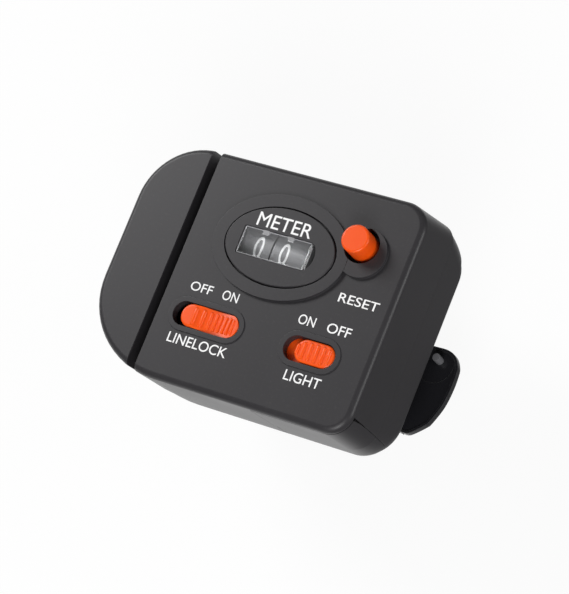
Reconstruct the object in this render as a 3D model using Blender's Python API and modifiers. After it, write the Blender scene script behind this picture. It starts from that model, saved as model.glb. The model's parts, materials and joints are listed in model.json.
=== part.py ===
"""Fishing line counter: a two-drum metre counter in a D-shaped casing that clips behind a rod.

Frame: X across the face to the right, Y along the rod towards its tip, Z out of the face. The origin is
on the flat of the rubber saddle that rests on the rod. Lengths are in metres.
"""

import math
from typing import NamedTuple

import bmesh
import bpy
from mathutils import Matrix, Vector

# Clearances and cuts
FIT_GAP = 0.0003
RUN_GAP = 0.00015
OVERRUN = 0.002
MERGE_DISTANCE = 0.0000001
SMOOTH_ANGLE = math.radians(32)

# Casing, stacked along Z from the rod's saddle to the face
SADDLE_STANDOFF = 0.0010
BACK_DEPTH = 0.0125
FRONT_DEPTH = 0.0165
BACK_Z = SADDLE_STANDOFF
SEAM_Z = BACK_Z + BACK_DEPTH
FACE_Z = SEAM_Z + FRONT_DEPTH
WALL = 0.0016
FACE_WALL = 0.0022
BACK_WALL = 0.0016
EDGE_FILLET = 0.0016
BACK_FILLET = 0.0018
FACE_INNER_Z = FACE_Z - FACE_WALL
FLOOR_Z = BACK_Z + BACK_WALL

# Casing outline at the face, and how it changes towards the seam and the back
BODY_LEFT = -0.0265
BODY_RIGHT = 0.0485
BODY_BOTTOM = -0.0279
BODY_TOP = 0.0295
CORNER_LOW_LEFT_X = 0.0232
CORNER_LOW_LEFT_Y = 0.0206
CORNER_LOW_RIGHT = 0.0060
CORNER_HIGH_RIGHT = 0.00675
CORNER_HIGH_LEFT = 0.0157
SEAM_CORNER_HIGH_RIGHT = 0.0048
SEAM_RIGHT_FLARE = 0.0002
SEAM_TOP_FLARE = 0.0012
SEAM_BOTTOM_DRAFT = 0.0007
BACK_STEP = 0.0005
BACK_TOP_DRAFT = 0.0010
BACK_BOTTOM_DRAFT = 0.0012
BACK_CORNER_LOW_RIGHT = 0.0092
BACK_CORNER_HIGH_RIGHT = 0.0085
LEAST_CORNER = 0.0004
LIP_WIDTH = 0.0009
LIP_HEIGHT = 0.0012
LIP_ROOT = 0.0030
LIP_TAPER = 0.0004

# Line slot, its walls and its floor
SLOT_WIDTH = 0.0025
SLOT_RIGHT = -0.0088
SLOT_LEFT = SLOT_RIGHT - SLOT_WIDTH
SLOT_WALL = 0.0015
MAIN_INNER_LEFT = SLOT_RIGHT + SLOT_WALL
CAP_INNER_RIGHT = SLOT_LEFT - SLOT_WALL
DECK_THICKNESS = 0.0012
DECK_TOP = SEAM_Z - FIT_GAP
DECK_BOTTOM = DECK_TOP - DECK_THICKNESS
GUIDE_PIN_RADIUS = 0.0008
GUIDE_PIN_RISE = 0.0017
GUIDE_PIN_LOW_Y = -0.0235
GUIDE_PIN_HIGH_Y = 0.0260
GUIDE_PIN_INSET = 0.0002

# Raised field round the window and the button
FIELD_X = 0.0156
FIELD_Y = 0.0104
FIELD_HALF_LENGTH = 0.0178
FIELD_HALF_HEIGHT = 0.0129
FIELD_RISE = 0.0009
FIELD_ROUND_X = BODY_RIGHT - 0.0123
FIELD_ROUND_Y = 0.0144
FIELD_ROUND_RADIUS = 0.0061

# Oval window plate and its lens
BEZEL_X = 0.0158
BEZEL_Y = 0.01035
BEZEL_HALF_LENGTH = 0.01445
BEZEL_HALF_HEIGHT = 0.0095
BEZEL_THICKNESS = 0.0014
BEZEL_RISE = 0.0003
BEZEL_LEDGE = 0.0014
LENS_X = 0.0152
LENS_Y = 0.0099
LENS_LENGTH = 0.0200
LENS_HEIGHT = 0.0071
LENS_THICKNESS = 0.0009
LENS_SINK = 0.00025
LENS_FRAME_GAP = 0.0002
LENS_CORNER = 0.0002

# Line wheel: fifty millimetres of line turn it once
LINE_PER_TURN = 0.0503
WHEEL_RADIUS = LINE_PER_TURN / (2 * math.pi)
WHEEL_WIDTH = 0.0020
TYRE_THICKNESS = 0.00125
WHEEL_Y = 0.0060
WHEEL_AXLE_DROP = 0.0023
WHEEL_Z = SEAM_Z - WHEEL_AXLE_DROP
WHEEL_AXLE_RADIUS = 0.0007
WHEEL_POST_WIDTH = 0.0014
WHEEL_POST_HALF_DEPTH = 0.0025

# Gear train: layers along X from the main shell's slot wall
GEAR_WIDTH = 0.0012
LAYER_GAP = 0.0004
LAYER_PITCH = GEAR_WIDTH + LAYER_GAP
FIRST_LAYER_LEFT = MAIN_INNER_LEFT + LAYER_GAP
REDUCER_MODULE = 0.0003
CARRY_MODULE = 0.0004
WHEEL_PINION_TEETH = 10
REDUCER_TEETH = 50
SECOND_PINION_TEETH = 8
FINAL_TEETH = 64
CARRY_TEETH = 12
TRANSFER_TEETH = 30
TRANSFER_PINION_TEETH = 10
TENS_RING_TEETH = 40
GEAR_BACKLASH_DISTANCE = 0.00004
DEDENDUM_SHARE = 1.25
TOOTH_ROOT_SHARE = 0.26
TOOTH_TIP_SHARE = 0.105
STUB_RADIUS = 0.0005
DRUM_SHAFT_RADIUS = 0.0010
FIRST_SHAFT_ANGLE = math.radians(110)
TRANSFER_SHAFT_ANGLE = math.radians(-60)
STUB_SEAT_DEPTH = 0.0010

# Number drums
DRUM_RADIUS = 0.0100
DRUM_FACE_DEPTH = 0.0024
DRUM_Y = 0.01015
DRUM_Z = FACE_Z - DRUM_FACE_DEPTH - DRUM_RADIUS
DRUM_SPLIT_X = 0.01245
UNITS_DRUM_RIGHT = 0.0247
DRUM_HUB_RADIUS = 0.0032
DRUM_WEB_RECESS = 0.0030
DRUM_RIM = 0.0018

# Gear plate and end plate
PLATE_THICKNESS = 0.0012
GEAR_PLATE_LOW_Y = -0.0064
GEAR_PLATE_HIGH_Y = 0.0220
GEAR_PLATE_CORNER = 0.0020
END_PLATE_X = 0.0260
END_PLATE_LOW_Y = 0.0025
END_PLATE_FOOT_WIDTH = 0.0059
END_PLATE_NOTCH_Z = 0.0148
END_PLATE_TOP_DROP = 0.0013
SHELF_LOW_Y = 0.0116
SHELF_HIGH_Y = 0.0204
SHELF_Z = 0.0178
SHELF_THICKNESS = 0.0012
SHELF_OVERHANG = 0.0048

# Reset button, its spring, rocker and heart-shaped cam
BUTTON_X = BODY_RIGHT - 0.0131
BUTTON_Y = 0.01605
BUTTON_RADIUS = 0.00345
BUTTON_RISE = 0.0056
BUTTON_EDGE = 0.0005
BUTTON_HOLE_MARGIN = 0.00095
BUTTON_COLLAR_RADIUS = 0.0051
BUTTON_COLLAR_THICKNESS = 0.0012
BUTTON_STEM_RADIUS = 0.0015
BUTTON_STEM_END_Z = 0.0131
BUTTON_TIP_RADIUS = 0.0008
RESET_SPRING_WIRE = 0.00055
RESET_SPRING_RADIUS = 0.00235
RESET_SPRING_TURNS = 4
ROCKER_X = 0.0292
ROCKER_Z = 0.0118
ROCKER_HUB_RADIUS = 0.0016
ROCKER_PIN_RADIUS = 0.00065
ROCKER_ARM_WIDTH = 0.0023
ROCKER_ARM_THICKNESS = 0.0012
ROCKER_ARM_REACH = 0.0010
ROCKER_FINGER_WIDTH = 0.0018
ROCKER_FINGER_REACH = 0.0042
ROCKER_FINGER_RISE = 0.00045
ROCKER_POST_WIDTH = 0.0013
ROCKER_POST_HALF_DEPTH = 0.0012
CAM_THICKNESS = 0.0007
CAM_LEAST_RADIUS = 0.0016
CAM_MOST_RADIUS = 0.0036

# Knob openings in the face
KNOB_RIM_WIDTH = 0.0013
KNOB_RIM_RISE = 0.0003
KNOB_SIDE_GAP = 0.00015
SLIDER_THICKNESS = 0.0012
SLIDER_OVERLAP = 0.0010
KNOB_PEG_RADIUS = 0.0012
KNOB_RIB_HEIGHT = 0.00040
RIB_SHARES = (1 / 6, 2 / 6, 4 / 6, 5 / 6)

# Line lock knob, slider and gate
LOCK_X = 0.00445
LOCK_Y = -0.0110
LOCK_SLOT_LENGTH = 0.0179
LOCK_SLOT_WIDTH = 0.0060
LOCK_TRAVEL = 0.0021
LOCK_RIBS = 7
LOCK_KNOB_SHARES = (0.6, -0.5, 2.2, 0.16)
LOCK_RIB_SHARES = (0.24, 0.96)
GATE_BAR = 0.0014
GATE_WIDTH = 0.0015
GATE_LEG_X = 0.0035
GATE_UNDER_DECK_GAP = 0.0013
GATE_RISER_X = -0.0166
GATE_FINGER_RADIUS = 0.00065
GATE_FINGER_Z = 0.0165
GATE_FAR_Y = 0.0200

# Light knob, switch, board, lamp and cells
LIGHT_X = BODY_RIGHT - 0.0158
LIGHT_Y = -0.01135
LIGHT_SLOT_LENGTH = 0.0134
LIGHT_SLOT_WIDTH = 0.0061
LIGHT_TRAVEL = 0.0027
LIGHT_RIBS = 5
LIGHT_KNOB_SHARES = (0.9, 0.0, 0.2, 0.10)
LIGHT_RIB_SHARES = (0.28, 0.94)
BOARD_LEFT = BODY_RIGHT - 0.0285
BOARD_RIGHT = BODY_RIGHT - 0.0085
BOARD_LOW_Y = -0.0210
BOARD_HIGH_Y = -0.0015
BOARD_Z = 0.0200
BOARD_THICKNESS = 0.0012
BOARD_POST_RADIUS = 0.0013
BOARD_POST_MARGIN = 0.0025
SWITCH_HALF_LENGTH = 0.0055
SWITCH_HALF_WIDTH = 0.0028
SWITCH_HEIGHT = 0.0042
LED_RADIUS = 0.0015
LED_HEIGHT = 0.0040
LED_FLANGE = 0.0003
LED_X = BOARD_LEFT + 0.0035
LED_Y = BOARD_HIGH_Y - 0.0021
CELL_RADIUS = 0.0058
CELL_HEIGHT = 0.0054
CELL_EDGE = 0.0006
CELL_X = BODY_RIGHT - 0.0161
CELL_Y = -0.0181
CONTACT_THICKNESS = 0.0003
CONTACT_HALF_WIDTH = 0.0020
CONTACT_REACH = 0.0039

# Battery door in the bottom wall, round the right corner
DOOR_LEFT = CELL_X - 0.0094
DOOR_CORNER_LEFT = BODY_RIGHT - 0.0053
DOOR_CORNER_HIGH_Y = -0.0226
DOOR_LOW_Z = 0.0033
DOOR_HIGH_Z = FACE_Z - 0.0024
DOOR_TONGUE_LEFT = CELL_X - 0.0070
DOOR_TONGUE_RIGHT = CELL_X + 0.0070
DOOR_TONGUE_THICKNESS = 0.0010
DOOR_TONGUE_LENGTH = 0.0085
DOOR_TONGUE_LOW_Z = 0.0057
DOOR_TONGUE_HEIGHT = 0.0040

# Housing screws
SCREW_RADIUS = 0.0008
SCREW_HEAD_RADIUS = 0.0019
SCREW_HEAD_HEIGHT = 0.0010
SCREW_LENGTH = 0.0185
SCREW_HEAD_POCKET = 0.0014
BOSS_RADIUS = 0.0020
SCREW_POST_RADIUS = 0.0027
BOSS_BOTTOM_Z = SEAM_Z + FIT_GAP
SCREW_PLACES = (
    (BODY_LEFT + 0.0053, 0.0120),
    (BODY_LEFT + 0.0053, -0.0080),
    (SLOT_RIGHT + 0.0053, 0.0248),
    (SLOT_RIGHT + 0.0053, -0.0213),
    (BODY_RIGHT - 0.0062, 0.0245),
    (BODY_RIGHT - 0.0062, -0.0195),
)

# Rod saddle
SADDLE_HALF_WIDTH = 0.0070
SADDLE_HALF_LENGTH = 0.0180
SADDLE_SEAT_DEPTH = 0.0006
RIB_GAP = 0.0008
RIB_WIDTH = 0.0012
RIB_DROP = 0.0015
RIB_HALF_LENGTH = 0.0225

# Clamp lever behind the casing
HINGE_X = 0.0165
HINGE_Z = -0.0070
HINGE_PIN_RADIUS = 0.00125
HINGE_PIN_HEAD = 0.0021
HINGE_PIN_HEAD_HEIGHT = 0.0007
HUB_RADIUS = 0.0030
EAR_RADIUS = 0.0032
EAR_THICKNESS = 0.0020
EAR_GAP = 0.00035
LEVER_LOW_Y = -0.0155
LEVER_WIDTH = 0.02256
LEVER_HIGH_Y = LEVER_LOW_Y + LEVER_WIDTH
JAW_TIP_X = -0.0160
JAW_LOW_Z = -0.0190
JAW_THICKNESS = 0.0030
JAW_CORNER = 0.0015
LEVER_WALL_X = 0.0114
LEVER_WALL_THICKNESS = 0.0022
HEEL_GAP = FIT_GAP
LEVER_FOOT_X = 0.0220
LEVER_FOOT_SLOPE = 0.0025
TAB_TOP_Z = -0.0095
TAB_THICKNESS = 0.0020
TAB_END_X = 0.0516
TAB_TIP_LENGTH = 0.0080
TAB_TIP_SHARES = (
    (0.24, 0.015),
    (0.62, 0.137),
    (0.74, 0.20),
    (0.93, 0.40),
    (1.0, 0.60),
    (0.99, 0.77),
    (0.96, 0.83),
    (0.75, 0.955),
    (0.53, 0.995),
)
POST_X = 0.0460
POST_Y = 0.0040
POST_RADIUS = 0.0010
POST_HEIGHT = 0.0035
PAD_THICKNESS = 0.0018
PAD_SEAT_DEPTH = 0.0006
PAD_MARGIN = 0.0020
PAD_LEFT = JAW_TIP_X + 0.0040
PAD_RIGHT = 0.0080
SPRING_GAP_WIDTH = 0.0076
SPRING_GAP_LEFT_X = 0.0132
SPRING_GAP_RIGHT_X = 0.0203
SPRING_GAP_LOW_Z = -0.0120
CLAMP_WIRE = 0.0008
CLAMP_COIL_RADIUS = 0.0020
CLAMP_COIL_PITCH = 0.0013
CLAMP_COILS = 5
CLAMP_LOWER_LEG_ANGLE = math.radians(20)
CLAMP_UPPER_LEG_ANGLE = math.radians(25)
CLAMP_LOWER_LEG = 0.0060

# Facet counts
CORNER_STEPS = 5
WIDE_CORNER_STEPS = 9
FILLET_STEPS = 3
OVAL_STEPS = 36
DRUM_SIDES = 40
ROUND_SIDES = 24
SMALL_SIDES = 12
COIL_STEPS = 9


class Section(NamedTuple):
    """Outline of the casing at one height: four straight sides and four rounded corners."""

    left: float
    right: float
    bottom: float
    top: float
    low_left_x: float
    low_left_y: float
    low_right: float
    high_right: float
    high_left: float


class Finish(NamedTuple):
    """Colour and surface of one material."""

    name: str
    colour: tuple
    roughness: float
    metallic: float


FRONT_SECTION = Section(
    BODY_LEFT,
    BODY_RIGHT,
    BODY_BOTTOM,
    BODY_TOP,
    CORNER_LOW_LEFT_X,
    CORNER_LOW_LEFT_Y,
    CORNER_LOW_RIGHT,
    CORNER_HIGH_RIGHT,
    CORNER_HIGH_LEFT,
)
SEAM_SECTION = FRONT_SECTION._replace(
    right=BODY_RIGHT + SEAM_RIGHT_FLARE,
    bottom=BODY_BOTTOM + SEAM_BOTTOM_DRAFT,
    top=BODY_TOP + SEAM_TOP_FLARE,
    high_right=SEAM_CORNER_HIGH_RIGHT,
)
BACK_SECTION = SEAM_SECTION._replace(
    left=SEAM_SECTION.left + BACK_STEP,
    bottom=SEAM_SECTION.bottom + BACK_BOTTOM_DRAFT,
    top=SEAM_SECTION.top - BACK_TOP_DRAFT,
    low_right=BACK_CORNER_LOW_RIGHT,
    high_right=BACK_CORNER_HIGH_RIGHT,
)

BLACK = Finish("black_plastic", (0.042, 0.040, 0.044), 0.45, 0.0)
GLOSS_BLACK = Finish("gloss_black_plastic", (0.016, 0.016, 0.018), 0.22, 0.0)
ORANGE = Finish("orange_plastic", (0.95, 0.13, 0.02), 0.38, 0.0)
WHITE = Finish("white_plastic", (0.80, 0.79, 0.76), 0.45, 0.0)
DRUM_BLACK = Finish("drum_plastic", (0.020, 0.020, 0.022), 0.5, 0.0)
CLEAR = Finish("clear_lens", (0.90, 0.92, 0.93), 0.06, 0.0)
RUBBER = Finish("rubber", (0.025, 0.025, 0.026), 0.75, 0.0)
STEEL = Finish("steel", (0.62, 0.62, 0.63), 0.28, 1.0)
BRASS = Finish("brass", (0.80, 0.58, 0.26), 0.30, 1.0)
BOARD = Finish("board_green", (0.03, 0.20, 0.07), 0.45, 0.0)
LAMP = Finish("lamp_clear", (0.85, 0.80, 0.75), 0.10, 0.0)

FINISHES = {}


def clear_scene():
    """Removes what a new file holds."""
    for item in list(bpy.data.objects):
        bpy.data.objects.remove(item, do_unlink=True)


def new_collection(name):
    """Makes a collection in the scene."""
    collection = bpy.data.collections.new(name)
    bpy.context.scene.collection.children.link(collection)
    return collection


def material_of(finish):
    """Returns the Principled material of a finish, made once."""
    if finish.name not in FINISHES:
        made = bpy.data.materials.new(finish.name)
        made.use_nodes = True
        shader = made.node_tree.nodes["Principled BSDF"]
        shader.inputs["Base Color"].default_value = (*finish.colour, 1)
        shader.inputs["Roughness"].default_value = finish.roughness
        shader.inputs["Metallic"].default_value = finish.metallic
        made.diffuse_color = (*finish.colour, 1)
        FINISHES[finish.name] = made
    return FINISHES[finish.name]


def place(name, mesh):
    """Puts a mesh in the scene as an object of the counter."""
    item = bpy.data.objects.new(name, mesh)
    PARTS.objects.link(item)
    return item


def piece(item, finish):
    """Gives a finished sub-part its material and smooth round faces."""
    item.data.materials.clear()
    item.data.materials.append(material_of(finish))
    item.data.shade_smooth()
    item.data.set_sharp_from_angle(angle=SMOOTH_ANGLE)
    return item


def as_tool(item):
    """Hides an object that only cuts or joins another one."""
    if item.name in PARTS.objects:
        PARTS.objects.unlink(item)
        CUTTERS.objects.link(item)
    item.hide_render = True
    item.display_type = "WIRE"


def combine(target, tool, operation):
    """Adds an exact Boolean with another object."""
    modifier = target.modifiers.new(tool.name, "BOOLEAN")
    modifier.object = tool
    modifier.operation = operation
    modifier.solver = "EXACT"
    as_tool(tool)
    return target


def cut(target, *tools):
    """Cuts each tool out of the target."""
    for tool in tools:
        combine(target, tool, "DIFFERENCE")
    return target


def join(target, *tools):
    """Joins each tool to the target."""
    for tool in tools:
        combine(target, tool, "UNION")
    return target


def keep_inside(target, tool):
    """Keeps what the target and the tool share."""
    return combine(target, tool, "INTERSECT")


def blocks(name, *corners):
    """Makes boxes, each from its low and high corner, in one object."""
    shape = bmesh.new()
    for low, high in corners:
        low = Vector(low)
        high = Vector(high)
        size = high - low
        frame = Matrix.Translation((low + high) / 2) @ Matrix.Diagonal((*size, 1))
        bmesh.ops.create_cube(shape, size=1, matrix=frame)
    mesh = bpy.data.meshes.new(name)
    shape.to_mesh(mesh)
    shape.free()
    return place(name, mesh)


def along(axis):
    """Returns the turn that lays local Z along a world axis."""
    if axis == "X":
        return Matrix.Rotation(math.pi / 2, 4, "Y")
    if axis == "Y":
        return Matrix.Rotation(-math.pi / 2, 4, "X")
    return Matrix.Identity(4)


def axis_point(axis, across, place_along):
    """Places a point from its two coordinates across an axis and its one along it."""
    if axis == "X":
        return Vector((place_along, across[0], across[1]))
    if axis == "Y":
        return Vector((across[0], place_along, across[1]))
    return Vector((across[0], across[1], place_along))


def rods(name, axis, radius, start, end, *centres, sides=SMALL_SIDES):
    """Makes cylinders along an axis, one at each centre, in one object."""
    shape = bmesh.new()
    for centre in centres:
        middle = axis_point(axis, centre, (start + end) / 2)
        bmesh.ops.create_cone(
            shape,
            cap_ends=True,
            segments=sides,
            radius1=radius,
            radius2=radius,
            depth=end - start,
            matrix=Matrix.Translation(middle) @ along(axis),
        )
    mesh = bpy.data.meshes.new(name)
    shape.to_mesh(mesh)
    shape.free()
    return place(name, mesh)


def prism(name, axis, start, end, *loops):
    """Extrudes flat outlines along an axis. A loop inside another one is a hole."""
    curve = bpy.data.curves.new(name, "CURVE")
    curve.dimensions = "2D"
    curve.fill_mode = "BOTH"
    curve.extrude = (end - start) / 2
    for loop in loops:
        spline = curve.splines.new("POLY")
        spline.points.add(len(loop) - 1)
        for point, (across, up) in zip(spline.points, loop):
            point.co = (across, up, 0, 1)
        spline.use_cyclic_u = True
    middle = (start + end) / 2
    columns = {
        "X": ((0, 0, 1, middle), (1, 0, 0, 0), (0, 1, 0, 0), (0, 0, 0, 1)),
        "Y": ((1, 0, 0, 0), (0, 0, -1, middle), (0, 1, 0, 0), (0, 0, 0, 1)),
        "Z": ((1, 0, 0, 0), (0, 1, 0, 0), (0, 0, 1, middle), (0, 0, 0, 1)),
    }
    return mesh_of_curve(name, curve, Matrix(columns[axis]))


def mesh_of_curve(name, curve, frame):
    """Turns a curve into a closed mesh object in the given frame."""
    drawn = bpy.data.objects.new(name, curve)
    drawn.matrix_world = frame
    PARTS.objects.link(drawn)
    bpy.context.view_layer.update()
    evaluated = drawn.evaluated_get(bpy.context.evaluated_depsgraph_get())
    mesh = bpy.data.meshes.new_from_object(evaluated)
    bpy.data.objects.remove(drawn, do_unlink=True)
    bpy.data.curves.remove(curve)
    shape = bmesh.new()
    shape.from_mesh(mesh)
    bmesh.ops.remove_doubles(shape, verts=shape.verts, dist=MERGE_DISTANCE)
    bmesh.ops.recalc_face_normals(shape, faces=shape.faces)
    shape.to_mesh(mesh)
    shape.free()
    made = place(name, mesh)
    made.matrix_world = frame
    return made


def turned(name, centre_x, centre_y, profile, sides=ROUND_SIDES):
    """Turns a profile of (radius, height) points about an upright axis."""
    mesh = bpy.data.meshes.new(name)
    points = [(radius, 0, height) for radius, height in profile]
    edges = [(index, index + 1) for index in range(len(points) - 1)]
    mesh.from_pydata(points, edges, [])
    made = place(name, mesh)
    made.location = (centre_x, centre_y, 0)
    screw = made.modifiers.new("turn", "SCREW")
    screw.steps = sides
    screw.render_steps = sides
    screw.use_merge_vertices = True
    screw.merge_threshold = MERGE_DISTANCE
    return made


def tube(name, points, wire):
    """Runs a round wire with filled ends through points."""
    curve = bpy.data.curves.new(name, "CURVE")
    curve.dimensions = "3D"
    curve.bevel_depth = wire / 2
    curve.bevel_resolution = 1
    curve.use_fill_caps = True
    spline = curve.splines.new("POLY")
    spline.points.add(len(points) - 1)
    for point, at in zip(spline.points, points):
        point.co = (*at, 1)
    return mesh_of_curve(name, curve, Matrix.Identity(4))


def circle(centre, radius, steps=SMALL_SIDES):
    """Returns the points of a circle."""
    return oval(centre, radius, radius, steps)


def oval(centre, half_length, half_height, steps=OVAL_STEPS):
    """Returns the points of an ellipse."""
    turns = [2 * math.pi * step / steps for step in range(steps)]
    return [
        (centre[0] + half_length * math.cos(turn), centre[1] + half_height * math.sin(turn))
        for turn in turns
    ]


def arc(centre, radius_x, radius_y, start, end, steps):
    """Returns points along an elliptical arc, both ends included."""
    points = []
    for step in range(steps + 1):
        turn = start + (end - start) * step / steps
        points.append((centre[0] + radius_x * math.cos(turn), centre[1] + radius_y * math.sin(turn)))
    return points


def rounded(left, bottom, right, top, radius, steps=CORNER_STEPS):
    """Returns the outline of a rectangle with round corners."""
    quarter = math.pi / 2
    points = arc((right - radius, bottom + radius), radius, radius, -quarter, 0, steps)
    points += arc((right - radius, top - radius), radius, radius, 0, quarter, steps)
    points += arc((left + radius, top - radius), radius, radius, quarter, 2 * quarter, steps)
    points += arc((left + radius, bottom + radius), radius, radius, 2 * quarter, 3 * quarter, steps)
    return points


def casing_ring(section, height, inset):
    """Returns the casing's outline at a height, drawn in by an inset."""
    left = section.left + inset
    right = section.right - inset
    bottom = section.bottom + inset
    top = section.top - inset
    low_left_x = max(section.low_left_x - inset, LEAST_CORNER)
    low_left_y = max(section.low_left_y - inset, LEAST_CORNER)
    low_right = max(section.low_right - inset, LEAST_CORNER)
    high_right = max(section.high_right - inset, LEAST_CORNER)
    high_left = max(section.high_left - inset, LEAST_CORNER)
    quarter = math.pi / 2
    points = arc(
        (left + low_left_x, bottom + low_left_y),
        low_left_x,
        low_left_y,
        -2 * quarter,
        -quarter,
        WIDE_CORNER_STEPS,
    )
    points += arc((right - low_right, bottom + low_right), low_right, low_right, -quarter, 0, CORNER_STEPS)
    points += arc((right - high_right, top - high_right), high_right, high_right, 0, quarter, CORNER_STEPS)
    points += arc(
        (left + high_left, top - high_left), high_left, high_left, quarter, 2 * quarter, WIDE_CORNER_STEPS
    )
    return [Vector((across, up, height)) for across, up in points]


def loft(name, rings):
    """Skins rings of equal point counts from the lowest to the highest and closes both ends."""
    shape = bmesh.new()
    rows = [[shape.verts.new(point) for point in ring] for ring in rings]
    count = len(rows[0])
    for lower, upper in zip(rows, rows[1:]):
        for index in range(count):
            following = (index + 1) % count
            shape.faces.new((lower[index], lower[following], upper[following], upper[index]))
    shape.faces.new(list(reversed(rows[0])))
    shape.faces.new(rows[-1])
    mesh = bpy.data.meshes.new(name)
    shape.to_mesh(mesh)
    shape.free()
    return place(name, mesh)


def front_form(name):
    """The outer form of both front shells, before the line slot parts them."""
    rings = [casing_ring(SEAM_SECTION, SEAM_Z, 0)]
    for step in range(FILLET_STEPS + 1):
        turn = math.pi / 2 * step / FILLET_STEPS
        rise = EDGE_FILLET * math.sin(turn)
        inset = EDGE_FILLET * (1 - math.cos(turn))
        rings.append(casing_ring(FRONT_SECTION, FACE_Z - EDGE_FILLET + rise, inset))
    return loft(name, rings)


def front_hollow(name):
    """The room inside the front shells."""
    low = casing_ring(SEAM_SECTION, SEAM_Z - OVERRUN, WALL)
    high = casing_ring(FRONT_SECTION, FACE_INNER_Z, WALL)
    return loft(name, [low, high])


def back_form(name, inset, low_z, high_z):
    """The outer form of the back cover, drawn in by an inset."""
    rings = []
    for step in range(FILLET_STEPS + 1):
        turn = math.pi / 2 * (1 - step / FILLET_STEPS)
        height = low_z + BACK_FILLET * (1 - math.sin(turn))
        rings.append(casing_ring(BACK_SECTION, height, inset + BACK_FILLET * (1 - math.cos(turn))))
    rings.append(casing_ring(SEAM_SECTION, high_z, inset + BACK_STEP))
    return loft(name, rings)


def far_block(name, left, right):
    """A block that holds all of the casing between two places along X."""
    low = (left, BODY_BOTTOM - OVERRUN, JAW_LOW_Z)
    high = (right, SEAM_SECTION.top + OVERRUN, FACE_Z + OVERRUN)
    return blocks(name, (low, high))


def screw_bosses(name, places):
    """Posts under the face that the housing screws bite into."""
    posts = rods(name, "Z", BOSS_RADIUS, BOSS_BOTTOM_Z, FACE_INNER_Z + WALL / 2, *places)
    bores = rods(
        name + "_bores",
        "Z",
        SCREW_RADIUS + RUN_GAP,
        BOSS_BOTTOM_Z - OVERRUN,
        BACK_Z + SCREW_LENGTH + FIT_GAP,
        *places,
    )
    return cut(posts, bores)


def guide_pin_centres():
    """Places of the two guide pins across the slot, as (Y, Z)."""
    height = SEAM_Z + GUIDE_PIN_RISE
    return ((GUIDE_PIN_LOW_Y, height), (GUIDE_PIN_HIGH_Y, height))


def gate_centres():
    """Places of the gate's two fingers, as (Y, Z)."""
    return ((LOCK_Y, GATE_FINGER_Z), (GATE_FAR_Y, GATE_FINGER_Z))


def pill(centre_x, centre_y, length, width):
    """Outline of a slot with round ends."""
    left = centre_x - length / 2
    bottom = centre_y - width / 2
    return rounded(left, bottom, left + length, bottom + width, width / 2)


def knob_surround(name, centre_x, centre_y, length, width):
    """The low rim round a sliding knob, and the slot through it and the face."""
    margin = 2 * KNOB_RIM_WIDTH
    rim = prism(
        name + "_rim",
        "Z",
        FACE_Z - FACE_WALL / 2,
        FACE_Z + KNOB_RIM_RISE,
        pill(centre_x, centre_y, length + margin, width + margin),
    )
    slot = prism(
        name + "_slot",
        "Z",
        FACE_INNER_Z - OVERRUN,
        FACE_Z + OVERRUN,
        pill(centre_x, centre_y, length, width),
    )
    return rim, slot


def field_outline():
    """Outline of the oval field and the round one beside it, as one loop."""
    middle = (FIELD_X, FIELD_Y)
    round_middle = (FIELD_ROUND_X, FIELD_ROUND_Y)
    points = []
    for point in oval(middle, FIELD_HALF_LENGTH, FIELD_HALF_HEIGHT):
        if math.dist(point, round_middle) > FIELD_ROUND_RADIUS:
            points.append(point)
    ring = circle(round_middle, FIELD_ROUND_RADIUS, OVAL_STEPS)
    half = OVAL_STEPS // 2
    for across, up in ring[half:] + ring[:half]:
        reach = math.hypot((across - FIELD_X) / FIELD_HALF_LENGTH, (up - FIELD_Y) / FIELD_HALF_HEIGHT)
        if reach > 1:
            points.append((across, up))
    return points


def raised_field():
    """The low field on the face that holds the window plate and the button."""
    return prism("window_field", "Z", FACE_Z - FACE_WALL / 2, FACE_Z + FIELD_RISE, field_outline())


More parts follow.
